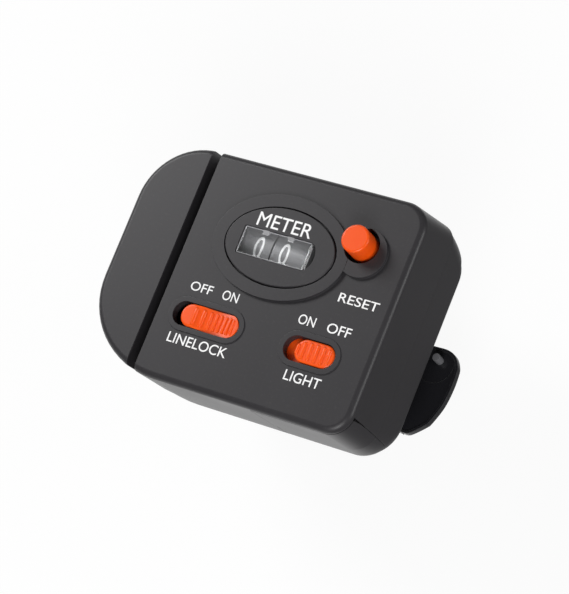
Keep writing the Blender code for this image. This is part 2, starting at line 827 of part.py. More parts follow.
def front_housing():
    """Main front shell with its face openings, posts and slot wall."""
    shell = front_form("front_housing")
    keep_inside(shell, far_block("main_side", SLOT_RIGHT, BODY_RIGHT + SEAM_RIGHT_FLARE + OVERRUN))
    room = front_hollow("main_room")
    keep_inside(room, far_block("main_room_side", MAIN_INNER_LEFT, BODY_RIGHT))
    cut(shell, room)
    join(shell, screw_bosses("main_bosses", SCREW_PLACES[2:]))
    board_top = BOARD_Z + BOARD_THICKNESS + FIT_GAP
    post_top = FACE_INNER_Z + WALL / 2
    join(shell, rods("board_posts", "Z", BOARD_POST_RADIUS, board_top, post_top, *board_post_places()))
    join(shell, raised_field())
    bezel = (BEZEL_X, BEZEL_Y)
    seat = prism(
        "bezel_seat",
        "Z",
        bezel_top() - BEZEL_THICKNESS - FIT_GAP,
        FACE_Z + OVERRUN,
        oval(bezel, BEZEL_HALF_LENGTH + FIT_GAP, BEZEL_HALF_HEIGHT + FIT_GAP),
    )
    opening = prism(
        "bezel_opening",
        "Z",
        FACE_INNER_Z - OVERRUN,
        FACE_Z + OVERRUN,
        oval(bezel, BEZEL_HALF_LENGTH - BEZEL_LEDGE, BEZEL_HALF_HEIGHT - BEZEL_LEDGE),
    )
    hole = rods(
        "reset_hole",
        "Z",
        BUTTON_RADIUS + BUTTON_HOLE_MARGIN,
        FACE_INNER_Z - OVERRUN,
        FACE_Z + OVERRUN,
        (BUTTON_X, BUTTON_Y),
        sides=ROUND_SIDES,
    )
    cut(shell, seat, opening, hole)
    for rim, slot in (
        knob_surround("lock", LOCK_X, LOCK_Y, LOCK_SLOT_LENGTH, LOCK_SLOT_WIDTH),
        knob_surround("light", LIGHT_X, LIGHT_Y, LIGHT_SLOT_LENGTH, LIGHT_SLOT_WIDTH),
    ):
        cut(join(shell, rim), slot)
    cut(shell, door_room("front_door_opening", FIT_GAP))
    pin_holes = rods(
        "main_pin_holes",
        "X",
        GUIDE_PIN_RADIUS + RUN_GAP,
        SLOT_LEFT,
        MAIN_INNER_LEFT + OVERRUN,
        *guide_pin_centres(),
    )
    stub_seat = rods(
        "first_axle_seat",
        "X",
        STUB_RADIUS + RUN_GAP,
        MAIN_INNER_LEFT - STUB_SEAT_DEPTH,
        MAIN_INNER_LEFT + OVERRUN,
        first_shaft(),
    )
    cut(shell, pin_holes, stub_seat)
    return piece(shell, BLACK)


def line_cap():
    """D-shaped front shell beyond the line slot."""
    shell = front_form("line_cap")
    keep_inside(shell, far_block("cap_side", BODY_LEFT - OVERRUN, SLOT_LEFT))
    room = front_hollow("cap_room")
    keep_inside(room, far_block("cap_room_side", BODY_LEFT, CAP_INNER_RIGHT))
    cut(shell, room)
    join(shell, screw_bosses("cap_bosses", SCREW_PLACES[:2]))
    pin_holes = rods(
        "cap_pin_holes",
        "X",
        GUIDE_PIN_RADIUS + RUN_GAP,
        CAP_INNER_RIGHT - OVERRUN,
        SLOT_RIGHT,
        *guide_pin_centres(),
    )
    finger_holes = rods(
        "finger_holes",
        "X",
        GATE_FINGER_RADIUS + FIT_GAP,
        CAP_INNER_RIGHT - OVERRUN,
        SLOT_RIGHT,
        *gate_centres(),
    )
    cut(shell, pin_holes, finger_holes)
    return piece(shell, BLACK)


def wheel_posts():
    """Block on the back cover's floor that the wheel's gap parts into two posts for its axle."""
    reach = WHEEL_WIDTH / 2 + FIT_GAP + WHEEL_POST_WIDTH
    low = (slot_middle() - reach, WHEEL_Y - WHEEL_POST_HALF_DEPTH, BACK_Z + BACK_WALL / 2)
    high = (slot_middle() + reach, WHEEL_Y + WHEEL_POST_HALF_DEPTH, DECK_TOP - DECK_THICKNESS / 2)
    return blocks("wheel_posts", (low, high))


def slot_middle():
    """Middle of the line slot along X."""
    return SLOT_RIGHT - SLOT_WIDTH / 2


def slot_deck():
    """Floor of the line slot, which ties the back cover's two ends together."""
    left = CAP_INNER_RIGHT - FIT_GAP
    right = MAIN_INNER_LEFT
    deck = blocks(
        "slot_deck",
        ((left, BODY_BOTTOM - OVERRUN, DECK_BOTTOM), (right, SEAM_SECTION.top + OVERRUN, DECK_TOP)),
    )
    return keep_inside(deck, back_form("deck_limit", WALL / 2, BACK_Z, SEAM_Z))


def cover_lip():
    """Lip of the back cover that stands inside the front shells' rims."""
    outer = WALL + FIT_GAP
    low = SEAM_Z - LIP_ROOT
    high = SEAM_Z + LIP_HEIGHT
    lip = loft(
        "cover_lip",
        [
            casing_ring(SEAM_SECTION, low, outer),
            casing_ring(SEAM_SECTION, SEAM_Z, outer),
            casing_ring(SEAM_SECTION, high, outer + LIP_TAPER),
        ],
    )
    inner = outer + LIP_WIDTH
    room = loft(
        "lip_room",
        [
            casing_ring(SEAM_SECTION, low - OVERRUN, inner),
            casing_ring(SEAM_SECTION, high + OVERRUN, inner),
        ],
    )
    gap = blocks(
        "lip_gap",
        (
            (CAP_INNER_RIGHT - FIT_GAP, BODY_BOTTOM - OVERRUN, low - OVERRUN),
            (MAIN_INNER_LEFT + FIT_GAP, SEAM_SECTION.top + OVERRUN, high + OVERRUN),
        ),
    )
    return cut(lip, room, gap)


def rocker_post_centres():
    """Middle of each of the two posts that hold the rocker's pin, along Y."""
    low, high = rocker_span()
    offset = FIT_GAP + ROCKER_POST_WIDTH / 2
    return low - offset, high + offset


def rocker_posts():
    """Two posts on the back cover's floor for the rocker's pin."""
    corners = []
    for middle in rocker_post_centres():
        low = (ROCKER_X - ROCKER_POST_HALF_DEPTH, middle - ROCKER_POST_WIDTH / 2, BACK_Z + BACK_WALL / 2)
        high = (
            ROCKER_X + ROCKER_POST_HALF_DEPTH,
            middle + ROCKER_POST_WIDTH / 2,
            ROCKER_Z + ROCKER_POST_HALF_DEPTH,
        )
        corners.append((low, high))
    return blocks("rocker_posts", *corners)


def ear_places():
    """Start and end along Y of the two ears beside the clamp lever."""
    low = LEVER_LOW_Y - EAR_GAP
    high = LEVER_HIGH_Y + EAR_GAP
    return (low - EAR_THICKNESS, low), (high, high + EAR_THICKNESS)


def clamp_ears():
    """Two ears under the back cover that hold the clamp's hinge pin."""
    top = BACK_Z + BACK_WALL / 2
    outline = [(HINGE_X + EAR_RADIUS, top), (HINGE_X - EAR_RADIUS, top)]
    outline += arc((HINGE_X, HINGE_Z), EAR_RADIUS, EAR_RADIUS, math.pi, 2 * math.pi, WIDE_CORNER_STEPS)
    hole = circle((HINGE_X, HINGE_Z), HINGE_PIN_RADIUS + RUN_GAP, ROUND_SIDES)
    return [
        prism(f"clamp_ear_{index}", "Y", start, end, outline, hole)
        for index, (start, end) in enumerate(ear_places(), 1)
    ]


def saddle_ribs():
    """Two ribs that keep the rod in the middle of the saddle."""
    inner = SADDLE_HALF_WIDTH + RIB_GAP
    outer = inner + RIB_WIDTH
    low_z = BACK_Z - SADDLE_STANDOFF - RIB_DROP
    high_z = BACK_Z + BACK_WALL / 2
    return blocks(
        "saddle_ribs",
        ((-outer, -RIB_HALF_LENGTH, low_z), (-inner, RIB_HALF_LENGTH, high_z)),
        ((inner, -RIB_HALF_LENGTH, low_z), (outer, RIB_HALF_LENGTH, high_z)),
    )


def door_room(name, gap):
    """The room of the battery door in the bottom wall and round the corner, grown by a gap."""
    low = BODY_BOTTOM - OVERRUN
    left = DOOR_LEFT - gap
    right = BODY_RIGHT + SEAM_RIGHT_FLARE + OVERRUN
    step = DOOR_CORNER_LEFT - gap
    high = BACK_SECTION.bottom + WALL + FIT_GAP
    corner_high = DOOR_CORNER_HIGH_Y + gap
    outline = [
        (left, low),
        (right, low),
        (right, corner_high),
        (step, corner_high),
        (step, high),
        (left, high),
    ]
    return prism(name, "Z", DOOR_LOW_Z - gap, DOOR_HIGH_Z + gap, outline)


def back_cover():
    """Tub across the whole back, with the slot's floor, the wheel posts, the saddle and the clamp's ears."""
    rim_z = SEAM_Z - FIT_GAP
    tub = back_form("back_cover", 0, BACK_Z, rim_z)
    cut(tub, back_form("back_room", WALL, FLOOR_Z, rim_z + OVERRUN))
    posts = rods(
        "screw_posts", "Z", SCREW_POST_RADIUS, BACK_Z + BACK_WALL / 2, rim_z, *SCREW_PLACES, sides=ROUND_SIDES
    )
    join(tub, posts, slot_deck(), wheel_posts(), cover_lip(), rocker_posts(), saddle_ribs(), *clamp_ears())
    wheel_gap = rods(
        "wheel_gap",
        "X",
        WHEEL_RADIUS + FIT_GAP,
        slot_middle() - WHEEL_WIDTH / 2 - FIT_GAP,
        slot_middle() + WHEEL_WIDTH / 2 + FIT_GAP,
        (WHEEL_Y, WHEEL_Z),
        sides=DRUM_SIDES,
    )
    axle_hole = rods(
        "wheel_axle_hole",
        "X",
        WHEEL_AXLE_RADIUS + RUN_GAP,
        CAP_INNER_RIGHT - OVERRUN,
        MAIN_INNER_LEFT + OVERRUN,
        (WHEEL_Y, WHEEL_Z),
    )
    screw_holes = rods(
        "screw_holes", "Z", SCREW_RADIUS + FIT_GAP, BACK_Z - OVERRUN, SEAM_Z + OVERRUN, *SCREW_PLACES
    )
    head_pockets = rods(
        "head_pockets",
        "Z",
        SCREW_HEAD_RADIUS + FIT_GAP,
        BACK_Z - OVERRUN,
        BACK_Z + SCREW_HEAD_POCKET,
        *SCREW_PLACES,
        sides=ROUND_SIDES,
    )
    first_post, last_post = rocker_post_centres()
    rocker_hole = rods(
        "rocker_pin_hole",
        "Y",
        ROCKER_PIN_RADIUS + RUN_GAP,
        first_post - OVERRUN,
        last_post + OVERRUN,
        (ROCKER_X, ROCKER_Z),
    )
    saddle_seat = prism(
        "saddle_seat",
        "Z",
        BACK_Z - OVERRUN,
        BACK_Z + SADDLE_SEAT_DEPTH,
        saddle_outline(FIT_GAP),
    )
    cut(tub, wheel_gap, axle_hole, screw_holes, head_pockets, rocker_hole, saddle_seat)
    cut(tub, door_room("back_door_opening", FIT_GAP))
    return piece(tub, BLACK)


def saddle_outline(gap):
    """Outline of the rubber saddle, grown by a gap."""
    return rounded(
        -SADDLE_HALF_WIDTH - gap,
        -SADDLE_HALF_LENGTH - gap,
        SADDLE_HALF_WIDTH + gap,
        SADDLE_HALF_LENGTH + gap,
        SADDLE_STANDOFF + gap,
    )


def saddle_pad():
    """Rubber saddle that rests on the rod."""
    top = BACK_Z + SADDLE_SEAT_DEPTH - FIT_GAP
    return piece(prism("saddle_pad", "Z", BACK_Z - SADDLE_STANDOFF, top, saddle_outline(0)), RUBBER)


def battery_door():
    """Door round the bottom right corner, with two tongues that slide beside the cells."""
    door = front_form("battery_door")
    join(door, back_form("door_back", 0, BACK_Z, SEAM_Z + FIT_GAP))
    cut(door, front_hollow("door_front_room"), back_form("door_back_room", WALL, FLOOR_Z, SEAM_Z + OVERRUN))
    keep_inside(door, door_room("door_limit", 0))
    start_y = BACK_SECTION.bottom + WALL / 2
    end_y = BACK_SECTION.bottom + WALL + DOOR_TONGUE_LENGTH
    low_z = DOOR_TONGUE_LOW_Z
    high_z = low_z + DOOR_TONGUE_HEIGHT
    left = DOOR_TONGUE_LEFT
    right = DOOR_TONGUE_RIGHT
    tongues = blocks(
        "door_tongues",
        ((left, start_y, low_z), (left + DOOR_TONGUE_THICKNESS, end_y, high_z)),
        ((right - DOOR_TONGUE_THICKNESS, start_y, low_z), (right, end_y, high_z)),
    )
    return piece(join(door, tongues), BLACK)


def housing_screws():
    """Self-tapping screws driven from the back."""
    made = []
    head_low = BACK_Z + SCREW_HEAD_POCKET - FIT_GAP - SCREW_HEAD_HEIGHT
    profile = [
        (0, BACK_Z + SCREW_LENGTH),
        (SCREW_RADIUS, BACK_Z + SCREW_LENGTH - SCREW_RADIUS),
        (SCREW_RADIUS, head_low + SCREW_HEAD_HEIGHT),
        (SCREW_HEAD_RADIUS, head_low + SCREW_HEAD_HEIGHT),
        (SCREW_HEAD_RADIUS, head_low),
        (0, head_low),
    ]
    for index, (centre_x, centre_y) in enumerate(SCREW_PLACES, 1):
        screw = turned(f"housing_screw_{index}", centre_x, centre_y, profile, SMALL_SIDES)
        made.append(piece(screw, STEEL))
    return made


def bezel_top():
    """Height of the window plate's front."""
    return FACE_Z + FIELD_RISE + BEZEL_RISE


def bezel_plate():
    """Oval plate round the number window."""
    top = bezel_top()
    half_length = LENS_LENGTH / 2
    half_height = LENS_HEIGHT / 2
    window = rounded(
        LENS_X - half_length, LENS_Y - half_height, LENS_X + half_length, LENS_Y + half_height, LENS_CORNER
    )
    plate = prism(
        "bezel_plate",
        "Z",
        top - BEZEL_THICKNESS,
        top,
        oval((BEZEL_X, BEZEL_Y), BEZEL_HALF_LENGTH, BEZEL_HALF_HEIGHT),
        window,
    )
    return piece(plate, BLACK)


def window_lens():
    """Clear lens in the oval plate."""
    top = bezel_top() - LENS_SINK
    half_length = LENS_LENGTH / 2 - LENS_FRAME_GAP
    half_height = LENS_HEIGHT / 2 - LENS_FRAME_GAP
    outline = rounded(
        LENS_X - half_length, LENS_Y - half_height, LENS_X + half_length, LENS_Y + half_height, LENS_CORNER
    )
    return piece(prism("window_lens", "Z", top - LENS_THICKNESS, top, outline), CLEAR)


def guide_pins():
    """Two steel pins across the slot that the line runs over."""
    made = []
    start = CAP_INNER_RIGHT + GUIDE_PIN_INSET
    end = MAIN_INNER_LEFT - GUIDE_PIN_INSET
    for name, centre in zip(("guide_pin_lower", "guide_pin_upper"), guide_pin_centres()):
        made.append(piece(rods(name, "X", GUIDE_PIN_RADIUS, start, end, centre), STEEL))
    return made


def third_corner(first, second, first_distance, second_distance):
    """The point below the line between two points, at a distance from each of them."""
    start = Vector(first)
    reach = Vector(second) - start
    span = reach.length
    forward = (first_distance**2 - second_distance**2 + span**2) / (2 * span)
    sideways = math.sqrt(first_distance**2 - forward**2)
    unit = reach / span
    corner = start + unit * forward + Vector((unit.y, -unit.x)) * sideways
    return corner.x, corner.y


def centre_distance(module, small, large):
    """Distance between the shafts of two gears in mesh."""
    return module * (small + large) / 2 + GEAR_BACKLASH_DISTANCE


def wheel_shaft():
    """Line wheel's axle, as (Y, Z)."""
    return WHEEL_Y, WHEEL_Z


def drum_axis():
    """Drum shaft, as (Y, Z)."""
    return DRUM_Y, DRUM_Z


def first_shaft():
    """First reducer's axle, as (Y, Z)."""
    distance = centre_distance(REDUCER_MODULE, WHEEL_PINION_TEETH, REDUCER_TEETH)
    return polar(wheel_shaft(), distance, FIRST_SHAFT_ANGLE)


def second_shaft():
    """Second reducer's axle, as (Y, Z)."""
    return third_corner(
        first_shaft(),
        drum_axis(),
        centre_distance(REDUCER_MODULE, WHEEL_PINION_TEETH, REDUCER_TEETH),
        centre_distance(REDUCER_MODULE, SECOND_PINION_TEETH, FINAL_TEETH),
    )


def transfer_shaft():
    """Transfer gear's axle, as (Y, Z)."""
    distance = centre_distance(CARRY_MODULE, CARRY_TEETH, TRANSFER_TEETH)
    return polar(drum_axis(), distance, TRANSFER_SHAFT_ANGLE)


def tens_module():
    """Module that lets the tens ring share the transfer gear's two shafts."""
    return CARRY_MODULE * (CARRY_TEETH + TRANSFER_TEETH) / (TRANSFER_PINION_TEETH + TENS_RING_TEETH)


def polar(start, distance, angle):
    """The point at a distance and an angle from another one."""
    return start[0] + distance * math.cos(angle), start[1] + distance * math.sin(angle)


def direction(start, end):
    """Angle of the line from one point to another."""
    return math.atan2(end[1] - start[1], end[0] - start[0])


def gear_loop(centre, teeth, module, phase):
    """Outline of a spur gear whose first tooth points along the phase."""
    pitch_radius = module * teeth / 2
    tip = pitch_radius + module
    root = pitch_radius - module * DEDENDUM_SHARE
    step = 2 * math.pi / teeth
    points = []
    for tooth in range(teeth):
        middle = phase + tooth * step
        points.append(polar(centre, root, middle - TOOTH_ROOT_SHARE * step))
        points.append(polar(centre, tip, middle - TOOTH_TIP_SHARE * step))
        points.append(polar(centre, tip, middle + TOOTH_TIP_SHARE * step))
        points.append(polar(centre, root, middle + TOOTH_ROOT_SHARE * step))
    return points


def meshing(start, end, teeth):
    """Phase that puts a gap of the second gear opposite the first gear's tooth."""
    return direction(start, end) + math.pi + math.pi / teeth


def layer(index):
    """Left face of a gear layer."""
    return FIRST_LAYER_LEFT + index * LAYER_PITCH


def compound_gear(name, finish, centre, bore, large, small):
    """A large gear and a small one on one hub. Each is (layer, teeth, module, phase)."""
    index, teeth, module, phase = large
    left = layer(index)
    hole = circle(centre, bore)
    wide = prism(name, "X", left, left + GEAR_WIDTH, gear_loop(centre, teeth, module, phase), hole)
    index, teeth, module, phase = small
    pinion = prism(
        name + "_pinion",
        "X",
        left + GEAR_WIDTH / 2,
        layer(index) + GEAR_WIDTH,
        gear_loop(centre, teeth, module, phase),
        hole,
    )
    return piece(join(wide, pinion), finish)


def line_wheel():
    """Line wheel with its rubber tyre, its axle and the pinion on that axle."""
    centre = wheel_shaft()
    left = slot_middle() - WHEEL_WIDTH / 2
    right = left + WHEEL_WIDTH
    rim = WHEEL_RADIUS - TYRE_THICKNESS
    bore = circle(centre, WHEEL_AXLE_RADIUS + RUN_GAP)
    wheel = prism("measuring_wheel", "X", left, right, circle(centre, rim - RUN_GAP, DRUM_SIDES), bore)
    tyre = prism(
        "wheel_tyre",
        "X",
        left,
        right,
        circle(centre, WHEEL_RADIUS, DRUM_SIDES),
        circle(centre, rim, DRUM_SIDES),
    )
    start = left - FIT_GAP - WHEEL_POST_WIDTH
    end = layer(0) + GEAR_WIDTH
    axle = rods("wheel_axle", "X", WHEEL_AXLE_RADIUS, start, end, centre)
    phase = direction(centre, first_shaft())
    pinion = prism(
        "wheel_pinion",
        "X",
        layer(0),
        end,
        gear_loop(centre, WHEEL_PINION_TEETH, REDUCER_MODULE, phase),
        bore,
    )
    return [piece(wheel, WHITE), piece(tyre, RUBBER), piece(axle, STEEL), piece(pinion, BRASS)]


def first_gear():
    """First reducer: driven by the wheel's pinion, it drives the second one."""
    centre = first_shaft()
    large = (0, REDUCER_TEETH, REDUCER_MODULE, meshing(wheel_shaft(), centre, REDUCER_TEETH))
    small = (1, WHEEL_PINION_TEETH, REDUCER_MODULE, direction(centre, second_shaft()))
    return compound_gear("first_gear", WHITE, centre, STUB_RADIUS + RUN_GAP, large, small)


def second_gear():
    """Second reducer: it drives the final gear on the drum shaft."""
    centre = second_shaft()
    large = (1, REDUCER_TEETH, REDUCER_MODULE, meshing(first_shaft(), centre, REDUCER_TEETH))
    small = (2, SECOND_PINION_TEETH, REDUCER_MODULE, direction(centre, drum_axis()))
    return compound_gear("second_gear", WHITE, centre, STUB_RADIUS + RUN_GAP, large, small)


def transfer_gear():
    """Transfer gear: the units' carry gear turns it, and it turns the tens drum."""
    centre = transfer_shaft()
    large = (4, TRANSFER_TEETH, CARRY_MODULE, meshing(drum_axis(), centre, TRANSFER_TEETH))
    small = (5, TRANSFER_PINION_TEETH, tens_module(), direction(centre, drum_axis()))
    return compound_gear("transfer_gear", BRASS, centre, STUB_RADIUS + RUN_GAP, large, small)


def drum(name, left, right, bore):
    """Number drum with a thick rim and a sunk web at its right side."""
    centre = drum_axis()
    body = rods(name, "X", DRUM_RADIUS, left, right, centre, sides=DRUM_SIDES)
    sunk = prism(
        name + "_web",
        "X",
        right - DRUM_WEB_RECESS,
        right + OVERRUN,
        circle(centre, DRUM_RADIUS - DRUM_RIM, ROUND_SIDES),
        circle(centre, DRUM_HUB_RADIUS, ROUND_SIDES),
    )
    hole = rods(name + "_bore", "X", bore, left - OVERRUN - LAYER_PITCH - GEAR_WIDTH, right + OVERRUN, centre)
    return body, sunk, hole


def units_train():
    """Drum shaft with what is fixed on it: final gear, carry gear, units drum and reset cam."""
    centre = drum_axis()
    bore = DRUM_SHAFT_RADIUS + RUN_GAP
    hole = circle(centre, bore)
    final = prism(
        "final_gear",
        "X",
        layer(2),
        layer(2) + GEAR_WIDTH,
        gear_loop(centre, FINAL_TEETH, REDUCER_MODULE, meshing(second_shaft(), centre, FINAL_TEETH)),
        hole,
    )
    carry = prism(
        "carry_gear",
        "X",
        layer(4),
        layer(4) + GEAR_WIDTH,
        gear_loop(centre, CARRY_TEETH, CARRY_MODULE, direction(centre, transfer_shaft())),
        hole,
    )
    units, sunk, drum_hole = drum("units_drum", DRUM_SPLIT_X + RUN_GAP, UNITS_DRUM_RIGHT, bore)
    cut(units, sunk, drum_hole)
    end = END_PLATE_X + PLATE_THICKNESS + FIT_GAP
    shaft = rods("drum_shaft", "X", DRUM_SHAFT_RADIUS, layer(2) - RUN_GAP, end, centre)
    cam_left = UNITS_DRUM_RIGHT + FIT_GAP
    cam = prism("reset_cam", "X", cam_left, cam_left + CAM_THICKNESS, heart_loop(centre), hole)
    return [
        piece(final, WHITE),
        piece(carry, BRASS),
        piece(units, DRUM_BLACK),
        piece(shaft, STEEL),
        piece(cam, BRASS),
    ]


def heart_loop(centre):
    """Outline of the reset cam: smallest straight down, largest straight up."""
    points = []
    for step in range(ROUND_SIDES):
        turn = 2 * math.pi * step / ROUND_SIDES
        share = 1 - abs(turn - math.pi) / math.pi
        radius = CAM_LEAST_RADIUS + (CAM_MOST_RADIUS - CAM_LEAST_RADIUS) * share
        points.append(polar(centre, radius, turn - math.pi / 2))
    return points


def tens_drum():
    """Tens drum with the ring gear on its left side."""
    centre = drum_axis()
    left = layer(6) + RUN_GAP
    body, sunk, hole = drum("tens_drum", left, DRUM_SPLIT_X - RUN_GAP, DRUM_SHAFT_RADIUS + RUN_GAP)
    ring = prism(
        "tens_ring",
        "X",
        layer(5),
        left + GEAR_WIDTH,
        gear_loop(centre, TENS_RING_TEETH, tens_module(), meshing(transfer_shaft(), centre, TENS_RING_TEETH)),
    )
    join(body, ring)
    cut(body, sunk, hole)
    return piece(body, DRUM_BLACK)


def fixed_axles():
    """Stub axles that the free gears turn on, and the rocker's pin."""
    plate = layer(3)
    first = rods(
        "first_axle",
        "X",
        STUB_RADIUS,
        MAIN_INNER_LEFT - STUB_SEAT_DEPTH + RUN_GAP,
        layer(1) + GEAR_WIDTH + RUN_GAP,
        first_shaft(),
    )
    second = rods("second_axle", "X", STUB_RADIUS, layer(1), plate + PLATE_THICKNESS, second_shaft())
    transfer_end = layer(5) + GEAR_WIDTH + RUN_GAP
    transfer = rods("transfer_axle", "X", STUB_RADIUS, plate, transfer_end, transfer_shaft())
    first_post, last_post = rocker_post_centres()
    reach = ROCKER_POST_WIDTH / 2 + RUN_GAP
    pin = rods(
        "rocker_pin", "Y", ROCKER_PIN_RADIUS, first_post - reach, last_post + reach, (ROCKER_X, ROCKER_Z)
    )
    return [piece(item, STEEL) for item in (first, second, transfer, pin)]


def gear_plate():
    """Upright plate between the reducer and the drums."""
    left = layer(3)
    outline = rounded(
        GEAR_PLATE_LOW_Y, FLOOR_Z + FIT_GAP, GEAR_PLATE_HIGH_Y, FACE_INNER_Z - FIT_GAP, GEAR_PLATE_CORNER
    )
    plate = prism(
        "gear_plate",
        "X",
        left,
        left + PLATE_THICKNESS,
        outline,
        circle(drum_axis(), DRUM_SHAFT_RADIUS + RUN_GAP),
        circle(second_shaft(), STUB_RADIUS + RUN_GAP),
        circle(transfer_shaft(), STUB_RADIUS + RUN_GAP),
    )
    return piece(plate, WHITE)


def end_plate():
    """Upright plate at the drums' right end, with the shelf that guides the reset button."""
    foot = END_PLATE_LOW_Y + END_PLATE_FOOT_WIDTH
    top = FACE_INNER_Z - END_PLATE_TOP_DROP
    outline = [
        (END_PLATE_LOW_Y, FLOOR_Z + FIT_GAP),
        (foot, FLOOR_Z + FIT_GAP),
        (foot, END_PLATE_NOTCH_Z),
        (SHELF_HIGH_Y, END_PLATE_NOTCH_Z),
        (SHELF_HIGH_Y, SHELF_Z + SHELF_THICKNESS),
        (DRUM_Y + DRUM_RADIUS / 2, top),
        (END_PLATE_LOW_Y, top),
    ]
    plate = prism(
        "end_plate",
        "X",
        END_PLATE_X,
        END_PLATE_X + PLATE_THICKNESS,
        outline,
        circle(drum_axis(), DRUM_SHAFT_RADIUS + RUN_GAP),
    )
    shelf = blocks(
        "button_shelf",
        (
            (END_PLATE_X + PLATE_THICKNESS / 2, SHELF_LOW_Y, SHELF_Z),
            (BUTTON_X + SHELF_OVERHANG, SHELF_HIGH_Y, SHELF_Z + SHELF_THICKNESS),
        ),
    )
    guide = rods(
        "stem_guide",
        "Z",
        BUTTON_STEM_RADIUS + RUN_GAP,
        SHELF_Z - OVERRUN,
        SHELF_Z + SHELF_THICKNESS + OVERRUN,
        (BUTTON_X, BUTTON_Y),
    )
    return piece(cut(join(plate, shelf), guide), WHITE)


def reset_button():
    """Orange push button with its collar and stem."""
    top = FACE_Z + BUTTON_RISE
    collar_top = FACE_INNER_Z - FIT_GAP
    collar_low = collar_top - BUTTON_COLLAR_THICKNESS
    profile = [
        (0, top),
        (BUTTON_RADIUS - BUTTON_EDGE, top),
        (BUTTON_RADIUS, top - BUTTON_EDGE),
        (BUTTON_RADIUS, collar_top),
        (BUTTON_COLLAR_RADIUS, collar_top),
        (BUTTON_COLLAR_RADIUS, collar_low),
        (BUTTON_STEM_RADIUS, collar_low),
        (BUTTON_STEM_RADIUS, BUTTON_STEM_END_Z + BUTTON_STEM_RADIUS - BUTTON_TIP_RADIUS),
        (BUTTON_TIP_RADIUS, BUTTON_STEM_END_Z),
        (0, BUTTON_STEM_END_Z),
    ]
    return piece(turned("reset_button", BUTTON_X, BUTTON_Y, profile, DRUM_SIDES), ORANGE)


def reset_spring():
    """Coil spring round the button's stem, from the shelf to the collar."""
    low = SHELF_Z + SHELF_THICKNESS + FIT_GAP + RESET_SPRING_WIRE / 2
    high = FACE_INNER_Z - FIT_GAP - BUTTON_COLLAR_THICKNESS - FIT_GAP - RESET_SPRING_WIRE / 2
    low += RESET_SPRING_WIRE
    high -= RESET_SPRING_WIRE
    steps = RESET_SPRING_TURNS * COIL_STEPS
    coil = []
    for step in range(steps + 1):
        turn = 2 * math.pi * step / COIL_STEPS
        across = BUTTON_X + RESET_SPRING_RADIUS * math.cos(turn)
        along_y = BUTTON_Y + RESET_SPRING_RADIUS * math.sin(turn)
        coil.append(Vector((across, along_y, low + (high - low) * step / steps)))
    foot = coil[0] - Vector((0, 0, RESET_SPRING_WIRE))
    head = coil[-1] + Vector((0, 0, RESET_SPRING_WIRE))
    points = [foot, *coil, head]
    print("reset_spring least gap, mm:", least_gap(coil, RESET_SPRING_WIRE))
    return piece(tube("reset_spring", points, RESET_SPRING_WIRE), STEEL)


def least_gap(points, wire):
    """Least gap in millimetres between points of a coil that are half a turn or more apart."""
    apart = COIL_STEPS // 2
    least = min(
        (points[later] - points[earlier]).length
        for earlier in range(len(points))
        for later in range(earlier + apart, len(points))
    )
    return round(1000 * (least - wire), 3)


def rocker_span():
    """Both ends of the rocker along Y: from the cam's finger to the button's arm."""
    low = DRUM_Y - ROCKER_FINGER_WIDTH / 2
    high = BUTTON_Y + ROCKER_ARM_WIDTH / 2
    return low, high


def reset_rocker():
    """Rocker that the button's stem presses down at one end and that lifts a finger to the cam."""
    low, high = rocker_span()
    hub = rods("reset_rocker", "Y", ROCKER_HUB_RADIUS, low, high, (ROCKER_X, ROCKER_Z))
    arm_top = BUTTON_STEM_END_Z - FIT_GAP
    arm = blocks(
        "rocker_arm",
        (
            (ROCKER_X, high - ROCKER_ARM_WIDTH, arm_top - ROCKER_ARM_THICKNESS),
            (BUTTON_X + ROCKER_ARM_REACH, high, arm_top),
        ),
    )
    finger_top = ROCKER_Z + ROCKER_FINGER_RISE
    finger = blocks(
        "rocker_finger",
        (
            (ROCKER_X - ROCKER_FINGER_REACH, low, finger_top - ROCKER_ARM_THICKNESS),
            (ROCKER_X, low + ROCKER_FINGER_WIDTH, finger_top),
        ),
    )
    hole = rods(
        "rocker_bore", "Y", ROCKER_PIN_RADIUS + RUN_GAP, low - OVERRUN, high + OVERRUN, (ROCKER_X, ROCKER_Z)
    )
    return piece(cut(join(hub, arm, finger), hole), WHITE)


def knob_profile(left, right, shares, ribs, rib_span_shares, rib_height):
    """Side view of a knob: feet on the slider, shares of its rise above the face, and a row of ribs."""
    base = FACE_INNER_Z
    length = right - left
    points = [(left, base), (right, base)]
    end_share, valley_share, crown_share, crown_width_share = shares
    points.append((right, FACE_Z + end_share * rib_height))
    start = left + rib_span_shares[0] * length
    stop = left + rib_span_shares[1] * length
    pitch = (stop - start) / ribs
    floor = FACE_Z + valley_share * rib_height
    foot_share, crest_share, crest_end_share, foot_end_share = RIB_SHARES
    for rib in reversed(range(ribs)):
        rib_start = start + rib * pitch
        points.append((rib_start + pitch * foot_end_share, floor))
        points.append((rib_start + pitch * crest_end_share, floor + rib_height))
        points.append((rib_start + pitch * crest_share, floor + rib_height))
        points.append((rib_start + pitch * foot_share, floor))
    points.append((left + crown_width_share * length, FACE_Z + crown_share * rib_height))
    points.append((left, FACE_Z + crown_share * rib_height))
    return points


